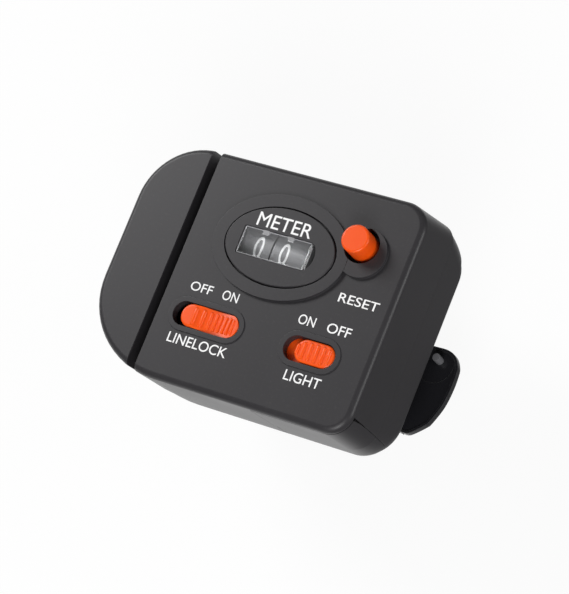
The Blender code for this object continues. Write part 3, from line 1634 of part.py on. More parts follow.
def sliding_knob(name, centre_x, centre_y, slot, shares, ribs, rib_span_shares):
    """Orange knob, at the right end of its slot, that fills the slot but for its travel."""
    length, width, travel = slot
    left = centre_x - length / 2 + travel + RUN_GAP
    right = centre_x + length / 2 - RUN_GAP
    half_width = width / 2 - KNOB_SIDE_GAP
    outline = knob_profile(left, right, shares, ribs, rib_span_shares, KNOB_RIB_HEIGHT)
    knob = prism(name, "Y", centre_y - half_width, centre_y + half_width, outline)
    plan = prism(
        name + "_plan",
        "Z",
        FACE_INNER_Z - OVERRUN,
        FACE_Z + OVERRUN,
        pill((left + right) / 2, centre_y, right - left, 2 * half_width),
    )
    keep_inside(knob, plan)
    middle = (left + right) / 2
    peg_low = FACE_INNER_Z - FIT_GAP - SLIDER_THICKNESS / 2
    join(
        knob,
        rods(name + "_peg", "Z", KNOB_PEG_RADIUS, peg_low, FACE_INNER_Z + FACE_WALL / 2, (middle, centre_y)),
    )
    return piece(knob, ORANGE), (left, right, middle)


def knob_slider(name, span, centre_y, width):
    """Slider under the face that keeps a knob in its slot."""
    left, right, middle = span
    top = FACE_INNER_Z - FIT_GAP
    half_width = width / 2 + SLIDER_OVERLAP
    plate = blocks(
        name,
        (
            (left - SLIDER_OVERLAP, centre_y - half_width, top - SLIDER_THICKNESS),
            (right + SLIDER_OVERLAP, centre_y + half_width, top),
        ),
    )
    seat = rods(
        name + "_seat",
        "Z",
        KNOB_PEG_RADIUS + RUN_GAP,
        top - SLIDER_THICKNESS / 2 - FIT_GAP,
        top + OVERRUN,
        (middle, centre_y),
    )
    return cut(plate, seat)


def line_lock():
    """Line lock: its knob, its slider and the gate that crosses the slot."""
    slot = (LOCK_SLOT_LENGTH, LOCK_SLOT_WIDTH, LOCK_TRAVEL)
    knob, span = sliding_knob(
        "linelock_knob", LOCK_X, LOCK_Y, slot, LOCK_KNOB_SHARES, LOCK_RIBS, LOCK_RIB_SHARES
    )
    slider = knob_slider("linelock_slider", span, LOCK_Y, LOCK_SLOT_WIDTH)
    slider_low = FACE_INNER_Z - FIT_GAP - SLIDER_THICKNESS
    bar_top = DECK_BOTTOM - GATE_UNDER_DECK_GAP
    bar_low = bar_top - GATE_BAR
    low_y = LOCK_Y - GATE_WIDTH / 2
    high_y = LOCK_Y + GATE_WIDTH / 2
    rail_top = GATE_FINGER_Z + GATE_BAR / 2
    riser_right = GATE_RISER_X + GATE_WIDTH
    leg_right = GATE_LEG_X + GATE_WIDTH
    gate = blocks("gate_arm", ((GATE_RISER_X, low_y, bar_low), (leg_right, high_y, bar_top)))
    leg = blocks("gate_leg", ((GATE_LEG_X, low_y, bar_low), (leg_right, high_y, slider_low - FIT_GAP)))
    riser = blocks("gate_riser", ((GATE_RISER_X, low_y, bar_low), (riser_right, high_y, rail_top)))
    rail = blocks(
        "gate_rail",
        ((GATE_RISER_X, low_y, rail_top - GATE_BAR), (riser_right, GATE_FAR_Y + GATE_WIDTH / 2, rail_top)),
    )
    fingers = rods(
        "gate_fingers",
        "X",
        GATE_FINGER_RADIUS,
        GATE_RISER_X + GATE_WIDTH / 2,
        SLOT_RIGHT - RUN_GAP,
        *gate_centres(),
    )
    join(gate, leg, riser, rail, fingers)
    return [knob, piece(slider, BLACK), piece(gate, STEEL)]


def board_post_places():
    """Places of the posts that the circuit board rests on."""
    left = BOARD_LEFT + BOARD_POST_MARGIN
    right = BOARD_RIGHT - BOARD_POST_MARGIN
    low = BOARD_LOW_Y + BOARD_POST_MARGIN
    high = BOARD_HIGH_Y - BOARD_POST_MARGIN
    return (left, low), (right, low), (right, high)


def light_control():
    """Light knob with its slider."""
    slot = (LIGHT_SLOT_LENGTH, LIGHT_SLOT_WIDTH, LIGHT_TRAVEL)
    knob, span = sliding_knob(
        "light_knob", LIGHT_X, LIGHT_Y, slot, LIGHT_KNOB_SHARES, LIGHT_RIBS, LIGHT_RIB_SHARES
    )
    slider = knob_slider("light_slider", span, LIGHT_Y, LIGHT_SLOT_WIDTH)
    return [knob, piece(slider, ORANGE)]


def switch_body():
    """Switch on the board that the light's slider works."""
    low = BOARD_Z + BOARD_THICKNESS + FIT_GAP
    switch = blocks(
        "switch_body",
        (
            (LIGHT_X - SWITCH_HALF_LENGTH, LIGHT_Y - SWITCH_HALF_WIDTH, low),
            (LIGHT_X + SWITCH_HALF_LENGTH, LIGHT_Y + SWITCH_HALF_WIDTH, low + SWITCH_HEIGHT),
        ),
    )
    return piece(switch, GLOSS_BLACK)


def circuit():
    """Circuit board, lamp, two cells and the two contact strips between them and the board."""
    board = blocks(
        "circuit_board",
        ((BOARD_LEFT, BOARD_LOW_Y, BOARD_Z), (BOARD_RIGHT, BOARD_HIGH_Y, BOARD_Z + BOARD_THICKNESS)),
    )
    lamp_low = BOARD_Z + BOARD_THICKNESS + FIT_GAP
    lamp_top = lamp_low + LED_HEIGHT
    lamp_profile = [
        (0, lamp_top),
        (LED_RADIUS * math.sin(math.pi / 6), lamp_top - LED_RADIUS * (1 - math.cos(math.pi / 6))),
        (LED_RADIUS * math.sin(math.pi / 3), lamp_top - LED_RADIUS * (1 - math.cos(math.pi / 3))),
        (LED_RADIUS, lamp_top - LED_RADIUS),
        (LED_RADIUS, lamp_low + LED_RADIUS / 2),
        (LED_RADIUS + LED_FLANGE, lamp_low + LED_RADIUS / 2),
        (LED_RADIUS + LED_FLANGE, lamp_low),
        (0, lamp_low),
    ]
    lamp = turned("led", LED_X, LED_Y, lamp_profile, SMALL_SIDES)
    pieces = [piece(board, BOARD), piece(lamp, LAMP)]
    low = FLOOR_Z + FIT_GAP
    riser_y = CELL_Y + CELL_RADIUS + FIT_GAP
    pieces.append(contact_strip("contact_lower", low, riser_y + 2 * CONTACT_THICKNESS))
    low += CONTACT_THICKNESS + FIT_GAP
    for name in ("battery_cell_lower", "battery_cell_upper"):
        top = low + CELL_HEIGHT
        profile = [
            (0, top),
            (CELL_RADIUS - CELL_EDGE, top),
            (CELL_RADIUS, top - CELL_EDGE),
            (CELL_RADIUS, low),
            (0, low),
        ]
        pieces.append(piece(turned(name, CELL_X, CELL_Y, profile, ROUND_SIDES), STEEL))
        low = top + FIT_GAP
    pieces.append(contact_strip("contact_upper", low, CELL_Y + CONTACT_REACH))
    return pieces


def contact_strip(name, low, riser_y):
    """Bent strip that lies against a cell and rises to the board."""
    top = BOARD_Z - FIT_GAP
    outline = [
        (CELL_Y - CONTACT_REACH, low),
        (riser_y + CONTACT_THICKNESS, low),
        (riser_y + CONTACT_THICKNESS, top),
        (riser_y, top),
        (riser_y, low + CONTACT_THICKNESS),
        (CELL_Y - CONTACT_REACH, low + CONTACT_THICKNESS),
    ]
    return piece(
        prism(name, "X", CELL_X - CONTACT_HALF_WIDTH, CELL_X + CONTACT_HALF_WIDTH, outline), BRASS
    )


def lever_side():
    """Side view of the clamp lever, as (X, Z): jaw, wall with its heel, hub and tab."""
    jaw_top = JAW_LOW_Z + JAW_THICKNESS
    heel_top = BACK_Z - HEEL_GAP
    wall_right = LEVER_WALL_X + LEVER_WALL_THICKNESS
    quarter = math.pi / 2
    tip = (JAW_TIP_X + JAW_CORNER, JAW_LOW_Z + JAW_CORNER)
    points = arc(tip, JAW_CORNER, JAW_CORNER, 2 * quarter, 3 * quarter, CORNER_STEPS)
    points.append((LEVER_FOOT_X, JAW_LOW_Z))
    points.append((LEVER_FOOT_X + LEVER_FOOT_SLOPE, TAB_TOP_Z - TAB_THICKNESS))
    points.append((TAB_END_X, TAB_TOP_Z - TAB_THICKNESS))
    points.append((TAB_END_X, TAB_TOP_Z))
    tab_turn = math.asin((TAB_TOP_Z - HINGE_Z) / HUB_RADIUS)
    wall_turn = math.acos((wall_right - HINGE_X) / HUB_RADIUS)
    points += arc((HINGE_X, HINGE_Z), HUB_RADIUS, HUB_RADIUS, tab_turn, wall_turn, WIDE_CORNER_STEPS)
    points.append((wall_right, heel_top))
    points.append((LEVER_WALL_X, heel_top))
    points.append((LEVER_WALL_X, jaw_top))
    points.append((JAW_TIP_X, jaw_top))
    return points


def lever_plan():
    """Plan of the clamp lever, as (X, Y), with the tab's rounded tip."""
    tip_start = TAB_END_X - TAB_TIP_LENGTH
    points = [(JAW_TIP_X, LEVER_LOW_Y), (tip_start, LEVER_LOW_Y)]
    for across, up in TAB_TIP_SHARES:
        points.append((tip_start + across * TAB_TIP_LENGTH, LEVER_LOW_Y + up * LEVER_WIDTH))
    points.append((tip_start, LEVER_HIGH_Y))
    points.append((JAW_TIP_X, LEVER_HIGH_Y))
    return points


def pad_outline(gap):
    """Plan of the jaw's rubber pad, grown by a gap."""
    return rounded(
        PAD_LEFT - gap,
        LEVER_LOW_Y + PAD_MARGIN - gap,
        PAD_RIGHT + gap,
        LEVER_HIGH_Y - PAD_MARGIN + gap,
        SADDLE_STANDOFF + gap,
    )


def spring_middle():
    """Middle of the clamp spring along Y."""
    return LEVER_LOW_Y + LEVER_WIDTH / 2


def clamp_lever():
    """Clamp lever: a jaw under the rod, a hub on the hinge pin and a thumb tab."""
    lever = prism("clamp_lever", "Y", LEVER_LOW_Y, LEVER_HIGH_Y, lever_side())
    keep_inside(lever, prism("lever_plan", "Z", JAW_LOW_Z - OVERRUN, BACK_Z + OVERRUN, lever_plan()))
    spring_gap = blocks(
        "spring_gap",
        (
            (SPRING_GAP_LEFT_X, spring_middle() - SPRING_GAP_WIDTH / 2, SPRING_GAP_LOW_Z),
            (SPRING_GAP_RIGHT_X, spring_middle() + SPRING_GAP_WIDTH / 2, BACK_Z + OVERRUN),
        ),
    )
    bore = rods(
        "lever_bore",
        "Y",
        HINGE_PIN_RADIUS + RUN_GAP,
        LEVER_LOW_Y - OVERRUN,
        LEVER_HIGH_Y + OVERRUN,
        (HINGE_X, HINGE_Z),
        sides=ROUND_SIDES,
    )
    jaw_top = JAW_LOW_Z + JAW_THICKNESS
    pad_seat = prism("pad_seat", "Z", jaw_top - PAD_SEAT_DEPTH, jaw_top + OVERRUN, pad_outline(FIT_GAP))
    post_hole = rods(
        "post_hole",
        "Z",
        POST_RADIUS + RUN_GAP,
        TAB_TOP_Z - TAB_THICKNESS - OVERRUN,
        TAB_TOP_Z + OVERRUN,
        (POST_X, POST_Y),
    )
    cut(lever, spring_gap, bore, pad_seat, post_hole)
    pad_low = jaw_top - PAD_SEAT_DEPTH + FIT_GAP
    pad = prism("jaw_pad", "Z", pad_low, pad_low + PAD_THICKNESS, pad_outline(0))
    post = rods(
        "stop_post",
        "Z",
        POST_RADIUS,
        TAB_TOP_Z - TAB_THICKNESS + RUN_GAP,
        TAB_TOP_Z + POST_HEIGHT,
        (POST_X, POST_Y),
    )
    return [piece(lever, GLOSS_BLACK), piece(pad, RUBBER), piece(post, STEEL)]


def hinge_pin():
    """Steel pin through the ears and the lever, with a head at one end."""
    (low, _), (_, high) = ear_places()
    centre = (HINGE_X, HINGE_Z)
    head_end = low - FIT_GAP
    start = head_end - HINGE_PIN_HEAD_HEIGHT / 2
    pin = rods("hinge_pin", "Y", HINGE_PIN_RADIUS, start, high + FIT_GAP, centre, sides=ROUND_SIDES)
    head = rods(
        "hinge_pin_head",
        "Y",
        HINGE_PIN_HEAD,
        head_end - HINGE_PIN_HEAD_HEIGHT,
        head_end,
        centre,
        sides=ROUND_SIDES,
    )
    return piece(join(pin, head), STEEL)


def clamp_spring():
    """Torsion spring round the hinge pin: one leg under the casing, the other over the tab's arm."""
    quarter = math.pi / 2
    start_turn = CLAMP_LOWER_LEG_ANGLE - quarter
    end_turn = CLAMP_UPPER_LEG_ANGLE + quarter - 2 * math.pi * CLAMP_COILS
    turns = (start_turn - end_turn) / (2 * math.pi)
    steps = math.ceil(turns * COIL_STEPS)
    length = turns * CLAMP_COIL_PITCH
    start_y = spring_middle() - length / 2
    coil = []
    for step in range(steps + 1):
        turn = start_turn + (end_turn - start_turn) * step / steps
        across, up = polar((HINGE_X, HINGE_Z), CLAMP_COIL_RADIUS, turn)
        coil.append(Vector((across, start_y + length * step / steps, up)))
    lower_end = coil[0] + leg(CLAMP_LOWER_LEG_ANGLE, CLAMP_LOWER_LEG)
    rise = BACK_Z - FIT_GAP - CLAMP_WIRE / 2 - coil[-1].z
    upper_end = coil[-1] + leg(CLAMP_UPPER_LEG_ANGLE, rise / math.sin(CLAMP_UPPER_LEG_ANGLE) - CLAMP_WIRE)
    print("clamp_spring least gap, mm:", least_gap(coil, CLAMP_WIRE))
    points = [lower_end, *coil, upper_end]
    return piece(tube("clamp_spring", points, CLAMP_WIRE), STEEL)


def leg(angle, length):
    """A straight spring leg in the XZ plane."""
    return Vector((length * math.cos(angle), 0, length * math.sin(angle)))


def body_at(name, point, pieces):
    """Parents moving pieces to an empty on their joint's axis."""
    pivot = bpy.data.objects.new(name, None)
    pivot.location = point
    PARTS.objects.link(pivot)
    bpy.context.view_layer.update()
    for item in pieces:
        item.parent = pivot
        item.matrix_parent_inverse = pivot.matrix_world.inverted()


def build():
    """Models every piece and hangs each moving group on its own empty."""
    front_housing()
    line_cap()
    back_cover()
    saddle_pad()
    housing_screws()
    bezel_plate()
    window_lens()
    guide_pins()
    gear_plate()
    end_plate()
    fixed_axles()
    circuit()
    reset_spring()
    hinge_pin()
    clamp_spring()
    switch_body()
    middle = slot_middle()
    body_at("line_wheel_axis", axis_point("X", wheel_shaft(), middle), line_wheel())
    body_at("first_gear_axis", axis_point("X", first_shaft(), middle), [first_gear()])
    body_at("second_gear_axis", axis_point("X", second_shaft(), middle), [second_gear()])
    body_at("units_axis", axis_point("X", drum_axis(), middle), units_train())
    body_at("transfer_axis", axis_point("X", transfer_shaft(), middle), [transfer_gear()])
    body_at("tens_axis", axis_point("X", drum_axis(), middle), [tens_drum()])
    body_at("linelock_path", (LOCK_X, LOCK_Y, FACE_Z), line_lock())
    body_at("light_path", (LIGHT_X, LIGHT_Y, FACE_Z), light_control())
    body_at("button_axis", (BUTTON_X, BUTTON_Y, FACE_Z), [reset_button()])
    body_at("rocker_axis", (ROCKER_X, BUTTON_Y, ROCKER_Z), [reset_rocker()])
    body_at("door_path", (CELL_X, BODY_BOTTOM, (DOOR_LOW_Z + DOOR_HIGH_Z) / 2), [battery_door()])
    body_at("clamp_axis", (HINGE_X, spring_middle(), HINGE_Z), clamp_lever())


clear_scene()
PARTS = new_collection("fishing_line_counter")
CUTTERS = new_collection("cutters")
build()
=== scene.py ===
"""Dressed scene of a clip-on fishing line counter.

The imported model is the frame: X across the face to the right, Y along the rod towards its tip, Z out of
the face, all in metres.
"""

import json
import logging
import math
from contextlib import contextmanager
from dataclasses import dataclass
from enum import Enum
from typing import Any, Callable, Iterator

import bmesh
import bpy
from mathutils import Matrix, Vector

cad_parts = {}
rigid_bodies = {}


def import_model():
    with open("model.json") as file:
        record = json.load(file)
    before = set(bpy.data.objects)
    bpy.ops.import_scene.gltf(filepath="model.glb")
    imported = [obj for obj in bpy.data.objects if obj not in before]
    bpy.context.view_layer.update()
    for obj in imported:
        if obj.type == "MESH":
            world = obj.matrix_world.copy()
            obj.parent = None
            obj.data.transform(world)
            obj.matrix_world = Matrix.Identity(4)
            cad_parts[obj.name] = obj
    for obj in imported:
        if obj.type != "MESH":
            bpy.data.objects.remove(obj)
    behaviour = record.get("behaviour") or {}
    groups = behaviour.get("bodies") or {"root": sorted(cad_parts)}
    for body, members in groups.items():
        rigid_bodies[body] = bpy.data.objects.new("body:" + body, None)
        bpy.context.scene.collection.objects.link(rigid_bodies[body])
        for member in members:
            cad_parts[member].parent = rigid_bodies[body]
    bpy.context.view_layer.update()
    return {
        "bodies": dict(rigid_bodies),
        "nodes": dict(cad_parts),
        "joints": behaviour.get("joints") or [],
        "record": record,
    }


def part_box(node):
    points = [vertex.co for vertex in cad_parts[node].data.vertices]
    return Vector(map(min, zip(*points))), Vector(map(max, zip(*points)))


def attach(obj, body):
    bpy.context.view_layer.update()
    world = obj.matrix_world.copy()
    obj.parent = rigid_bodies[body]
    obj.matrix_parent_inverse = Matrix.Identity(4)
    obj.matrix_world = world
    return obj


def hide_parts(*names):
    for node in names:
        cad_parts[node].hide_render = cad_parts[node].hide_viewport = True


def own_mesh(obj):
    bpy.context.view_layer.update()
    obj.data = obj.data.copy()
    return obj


Item = bpy.types.Object
Tree = bpy.types.NodeTree
Node = bpy.types.Node
Socket = bpy.types.NodeSocket
Point = tuple[float, float, float]
Spot = tuple[float, float]
Colour = tuple[float, float, float]
Test = Callable[[Vector], bool]

MERGE_DISTANCE = 0.000002
FLAT_ANGLE = math.radians(0.6)
SMOOTH_ANGLE = math.radians(38)
LEVEL_SHARE = 0.9999
NORMAL_WEIGHT = 60
OVERRUN = 0.001
ROUND_PROFILE = 0.5
FINE_SIDES = 96
SMALL_SIDES = 24
STROKE_SHARE = 0.004
STROKE_MERGE_SHARE = 0.02
STROKE_STEPS = 1
CURVE_STEPS = 6
FACE_Z = 0.0300
PLATE_Z = 0.0312
BUTTON_MIDDLE = (0.0354, 0.01605)
SCREW_PLACES = (
    (-0.0212, 0.0120),
    (-0.0212, -0.0080),
    (-0.0035, 0.0248),
    (-0.0035, -0.0213),
    (0.0423, 0.0245),
    (0.0423, -0.0195),
)
GRAINS = "Grains per metre"
PATCHES = "Patches per metre"
GRAIN_DETAIL = 2.0
TONE_DETAIL = 4.0
EDGE_REACH = 0.0003
EDGE_PATCHES = 500.0
EDGE_SAMPLES = 4
EDGE_GAIN = 8.0
DUST_SPECKS = 1400.0
DUST_DETAIL = 5.0
DUST_START = 0.55
DUST_GAIN = 5.0
MIX_FIRST = 6
MIX_SECOND = 7
MIX_RESULT = 2
LOG = logging.getLogger("line_counter")


class Axis(Enum):
    """Direction of a round piece's axis, as the turn that brings Z to it."""

    X = (0.0, math.pi / 2, 0.0)
    Y = (-math.pi / 2, 0.0, 0.0)
    Z = (0.0, 0.0, 0.0)


class Blend(Enum):
    """How one solid acts on another."""

    FUSE = "UNION"
    CARVE = "DIFFERENCE"
    KEEP = "INTERSECT"


# Modelling


def deselect() -> None:
    """Deselect every object."""
    bpy.ops.object.select_all(action="DESELECT")


def activate(item: Item) -> None:
    """Make one object the only selected one, and the active one.

    Args:
        item: Object to act on next.
    """
    deselect()
    item.select_set(True)
    bpy.context.view_layer.objects.active = item


@contextmanager
def editing(item: Item) -> Iterator[None]:
    """Hold an object in edit mode with nothing selected.

    Args:
        item: Object to edit.

    Returns:
        A context that leaves edit mode at its end.
    """
    activate(item)
    bpy.ops.object.mode_set(mode="EDIT")
    bpy.ops.mesh.select_all(action="DESELECT")
    yield
    bpy.ops.object.mode_set(mode="OBJECT")


def pick_edges(item: Item, test: Test) -> None:
    """Select the edges whose two ends pass a test.

    Args:
        item: Object in edit mode.
        test: Says of a point whether it belongs.
    """
    bpy.ops.mesh.select_mode(type="EDGE")
    shape = bmesh.from_edit_mesh(item.data)
    for edge in shape.edges:
        edge.select_set(all(test(corner.co) for corner in edge.verts))
    bmesh.update_edit_mesh(item.data)


def settle(item: Item, name: str) -> Item:
    """Name an object and put its place, turn and size into its mesh.

    Args:
        item: Object to settle.
        name: Its new name.

    Returns:
        The same object.
    """
    activate(item)
    bpy.ops.object.transform_apply(location=True, rotation=True, scale=True)
    item.name = name
    return item


def add_block(name: str, low: Point, high: Point) -> Item:
    """Add a block between two corners.

    Args:
        name: Name of the block.
        low: Its lowest corner.
        high: Its highest corner.

    Returns:
        The block.
    """
    deselect()
    size = [end - start for start, end in zip(low, high)]
    middle = [(start + end) / 2 for start, end in zip(low, high)]
    bpy.ops.mesh.primitive_cube_add(size=1, location=middle, scale=size)
    return settle(bpy.context.object, name)


def add_rod(name: str, axis: Axis, radius: float, start: Point, length: float, sides: int = 48) -> Item:
    """Add a round rod.

    Args:
        name: Name of the rod.
        axis: Direction of its axis.
        radius: Its radius.
        start: Middle of its lower end.
        length: Its length along the axis.
        sides: Number of flats round it.

    Returns:
        The rod.
    """
    deselect()
    step = {Axis.X: (length, 0, 0), Axis.Y: (0, length, 0), Axis.Z: (0, 0, length)}[axis]
    middle = [begin + part / 2 for begin, part in zip(start, step)]
    bpy.ops.mesh.primitive_cylinder_add(
        vertices=sides, radius=radius, depth=length, location=middle, rotation=axis.value
    )
    return settle(bpy.context.object, name)


def add_oval(name: str, middle: Spot, half: Spot, low: float, high: float, sides: int) -> Item:
    """Add an upright oval rod.

    Args:
        name: Name of the rod.
        middle: Its middle.
        half: Half its length and half its width.
        low: Its lower end.
        high: Its upper end.
        sides: Number of flats round it.

    Returns:
        The rod.
    """
    deselect()
    place = (*middle, (low + high) / 2)
    bpy.ops.mesh.primitive_cylinder_add(
        vertices=sides, radius=1, depth=1, location=place, scale=(*half, high - low)
    )
    return settle(bpy.context.object, name)


def apply_modifier(item: Item, kind: str, **settings: Any) -> None:
    """Add a modifier to an object and apply it.

    Args:
        item: Object to change.
        kind: Kind of the modifier.
        settings: Its settings by name.
    """
    activate(item)
    modifier = item.modifiers.new(kind.lower(), kind)
    for key, value in settings.items():
        setattr(modifier, key, value)
    bpy.ops.object.modifier_apply(modifier=modifier.name)


def combine(item: Item, other: Item, blend: Blend) -> None:
    """Let a second solid act on the first, and remove the second.

    Args:
        item: Solid to change.
        other: Solid that is used up.
        blend: How it acts.
    """
    apply_modifier(item, "BOOLEAN", object=other, operation=blend.value, solver="EXACT")
    bpy.data.objects.remove(other)


def keep_below(item: Item, node: str, top: float) -> None:
    """Cut all above a height off the copy of a frame node.

    Args:
        item: Copy to cut.
        node: Node that it was copied from.
        top: Height of the cut.
    """
    low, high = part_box(node)
    start = (low.x - OVERRUN, low.y - OVERRUN, low.z - OVERRUN)
    combine(item, add_block("below", start, (high.x + OVERRUN, high.y + OVERRUN, top)), Blend.KEEP)


def bevel_picked(width: float, segments: int) -> None:
    """Bevel the edges selected in edit mode.

    Args:
        width: Width of the bevel.
        segments: Number of strips across it.
    """
    bpy.ops.mesh.bevel(
        offset=width, offset_type="OFFSET", segments=segments, profile=ROUND_PROFILE, affect="EDGES"
    )


def rounded_block(name: str, low: Point, high: Point, corner: float, rim: float, segments: int = 8) -> Item:
    """Add a block with round upright corners and a rounded top rim.

    Args:
        name: Name of the block.
        low: Its lowest corner.
        high: Its highest corner.
        corner: Radius of the upright corners.
        rim: Radius of the top rim.
        segments: Strips across each round.

    Returns:
        The block.
    """
    block = add_block(name, low, high)
    half = (low[2] + high[2]) / 2
    with editing(block):
        bpy.ops.mesh.select_mode(type="EDGE")
        shape = bmesh.from_edit_mesh(block.data)
        for edge in shape.edges:
            first, second = edge.verts
            edge.select_set((first.co.z - half) * (second.co.z - half) < 0)
        bmesh.update_edit_mesh(block.data)
        bevel_picked(corner, segments)
        if rim > 0:
            bpy.ops.mesh.select_all(action="DESELECT")
            pick_edges(block, lambda place: place.z > high[2] - MERGE_DISTANCE)
            bevel_picked(rim, max(3, segments // 2))
    return block


def soften(item: Item, width: float, segments: int = 2) -> Item:
    """Round an object's sharp edges and shade it as a moulding.

    Args:
        item: Object to finish.
        width: Width of the rounding, or zero for shading alone.
        segments: Strips across the rounding.

    Returns:
        The same object.
    """
    if width > 0:
        apply_modifier(
            item,
            "BEVEL",
            width=width,
            segments=segments,
            limit_method="ANGLE",
            angle_limit=SMOOTH_ANGLE,
            use_clamp_overlap=False,
            loop_slide=False,
        )
    activate(item)
    bpy.ops.object.shade_smooth_by_angle(angle=SMOOTH_ANGLE)
    apply_modifier(item, "WEIGHTED_NORMAL", keep_sharp=True, weight=NORMAL_WEIGHT)
    return item


def merged_copy(node: Item, name: str) -> Item:
    """Copy a frame node as one closed mesh with whole flat faces.

    Args:
        node: Node of the frame.
        name: Name of the copy.

    Returns:
        The copy.
    """
    item = bpy.data.objects.new(name, node.data.copy())
    bpy.context.scene.collection.objects.link(item)
    activate(item)
    bpy.ops.mesh.customdata_custom_splitnormals_clear()
    merge_flats(item)
    return item


def merge_flats(item: Item, level_only: bool = False) -> None:
    """Weld an object's doubled corners and join the faces that lie in one plane.

    Args:
        item: Object to clean.
        level_only: Whether only faces that face straight up or down are joined.
    """
    with editing(item):
        bpy.ops.mesh.select_all(action="SELECT")
        bpy.ops.mesh.remove_doubles(threshold=MERGE_DISTANCE)
        if level_only:
            bpy.ops.mesh.select_mode(type="FACE")
            shape = bmesh.from_edit_mesh(item.data)
            for face in shape.faces:
                face.select_set(abs(face.normal.z) > LEVEL_SHARE)
            bmesh.update_edit_mesh(item.data)
        bpy.ops.mesh.dissolve_limited(angle_limit=FLAT_ANGLE)
        bpy.ops.mesh.mark_sharp(clear=True)


def twin(item: Item, name: str, shift: Point) -> Item:
    """Copy a finished piece, with its own mesh, to a second place.

    Args:
        item: Piece to copy.
        name: Name of the copy.
        shift: Way from the piece to its copy.

    Returns:
        The copy.
    """
    activate(item)
    bpy.ops.object.duplicate(linked=False)
    copy = bpy.context.object
    copy.location = shift
    return settle(copy, name)


def flat_text(name: str, words: str, depth: float) -> Item:
    """Add words as a thin mesh on the plane Z = 0, stretched to one unit each way.

    Args:
        name: Name of the mesh.
        words: What it says.
        depth: Thickness of the print.

    Returns:
        The mesh.
    """
    deselect()
    bpy.ops.object.text_add()
    text = bpy.context.object
    text.data.body = words
    text.data.bevel_depth = STROKE_SHARE
    text.data.bevel_resolution = STROKE_STEPS
    text.data.resolution_u = CURVE_STEPS
    bpy.ops.object.convert(target="MESH")
    mesh = bpy.context.object
    with editing(mesh):
        bpy.ops.mesh.select_all(action="SELECT")
        bpy.ops.mesh.remove_doubles(threshold=STROKE_SHARE * STROKE_MERGE_SHARE)
        bpy.ops.mesh.normals_make_consistent(inside=False)
    lowest, highest = mesh_box(mesh)
    mesh.scale = (1 / (highest.x - lowest.x), 1 / (highest.y - lowest.y), depth / (highest.z - lowest.z))
    mesh.location = [-low * size for low, size in zip(lowest, mesh.scale)]
    return settle(mesh, name)


def loft(name: str, rings: list[list[Point]]) -> Item:
    """Skin outlines from height to height and close both ends.

    Args:
        name: Name of the solid.
        rings: Outlines of equal point counts, counter-clockwise, from the lowest to the highest.

    Returns:
        The closed solid.
    """
    shape = bmesh.new()
    rows = [[shape.verts.new(place) for place in ring] for ring in rings]
    for lower, upper in zip(rows, rows[1:]):
        for first, second, third, fourth in zip(lower, lower[1:] + lower[:1], upper[1:] + upper[:1], upper):
            shape.faces.new((first, second, third, fourth))
    shape.faces.new(rows[0][::-1])
    shape.faces.new(rows[-1])
    item = bpy.data.objects.new(name, bpy.data.meshes.new(name))
    shape.to_mesh(item.data)
    shape.free()
    bpy.context.scene.collection.objects.link(item)
    return item


def mesh_box(item: Item) -> tuple[Vector, Vector]:
    """Measure a mesh.

    Args:
        item: Object to measure.

    Returns:
        Its lowest and highest corners.
    """
    places = [corner.co for corner in item.data.vertices]
    lowest = Vector(min(place[way] for place in places) for way in range(3))
    highest = Vector(max(place[way] for place in places) for way in range(3))
    return lowest, highest


# Surface effects


def new_group(name: str, inputs: dict[str, float], outputs: tuple[str, ...]) -> Tree:
    """Start a shader node group with float sockets.

    Args:
        name: Name of the group.
        inputs: Default of each input by name.
        outputs: Names of the outputs.

    Returns:
        The group, with its input and output nodes named inlet and outlet.
    """
    group = bpy.data.node_groups.new(name, "ShaderNodeTree")
    for label, value in inputs.items():
        socket = group.interface.new_socket(name=label, in_out="INPUT", socket_type="NodeSocketFloat")
        socket.default_value = value
    for label in outputs:
        group.interface.new_socket(name=label, in_out="OUTPUT", socket_type="NodeSocketFloat")
    group.nodes.new("NodeGroupInput").name = "inlet"
    group.nodes.new("NodeGroupOutput").name = "outlet"
    return group


def feed(tree: Tree, node: Node, inputs: dict[Any, Any]) -> Node:
    """Set or link a node's inputs.

    Args:
        tree: Tree that holds the node.
        node: Node to feed.
        inputs: Values or sockets by the input's name or number.

    Returns:
        The node.
    """
    for label, value in inputs.items():
        if isinstance(value, Socket):
            tree.links.new(value, node.inputs[label])
        else:
            node.inputs[label].default_value = value
    return node


def add_node(tree: Tree, kind: str, inputs: dict[Any, Any] | None = None, **settings: Any) -> Node:
    """Add a shader node.

    Args:
        tree: Tree to add it to.
        kind: Kind of the node, without the word ShaderNode.
        inputs: Values or sockets by the input's name or number.
        settings: Its other settings by name.

    Returns:
        The node.
    """
    node = tree.nodes.new("ShaderNode" + kind)
    for key, value in settings.items():
        setattr(node, key, value)
    return feed(tree, node, inputs or {})


def calculate(tree: Tree, operation: str, *values: Any) -> Socket:
    """Add a Math node and give its output."""
    return add_node(tree, "Math", dict(enumerate(values)), operation=operation).outputs[0]


def grain_group() -> Tree:
    """Build the group for a fine moulded grain and a slow change of tone.

    Returns:
        The group.
    """
    group = new_group("moulded_grain", {GRAINS: 1.0, PATCHES: 1.0}, ("Height", "Tone"))
    inlet, outlet = group.nodes["inlet"], group.nodes["outlet"]
    place = add_node(group, "TexCoord").outputs["Object"]
    for label, output, detail in ((GRAINS, "Height", GRAIN_DETAIL), (PATCHES, "Tone", TONE_DETAIL)):
        inputs = {"Detail": detail, "Vector": place, "Scale": inlet.outputs[label]}
        noise = add_node(group, "TexNoise", inputs)
        feed(group, outlet, {output: noise.outputs["Fac"]})
    return group


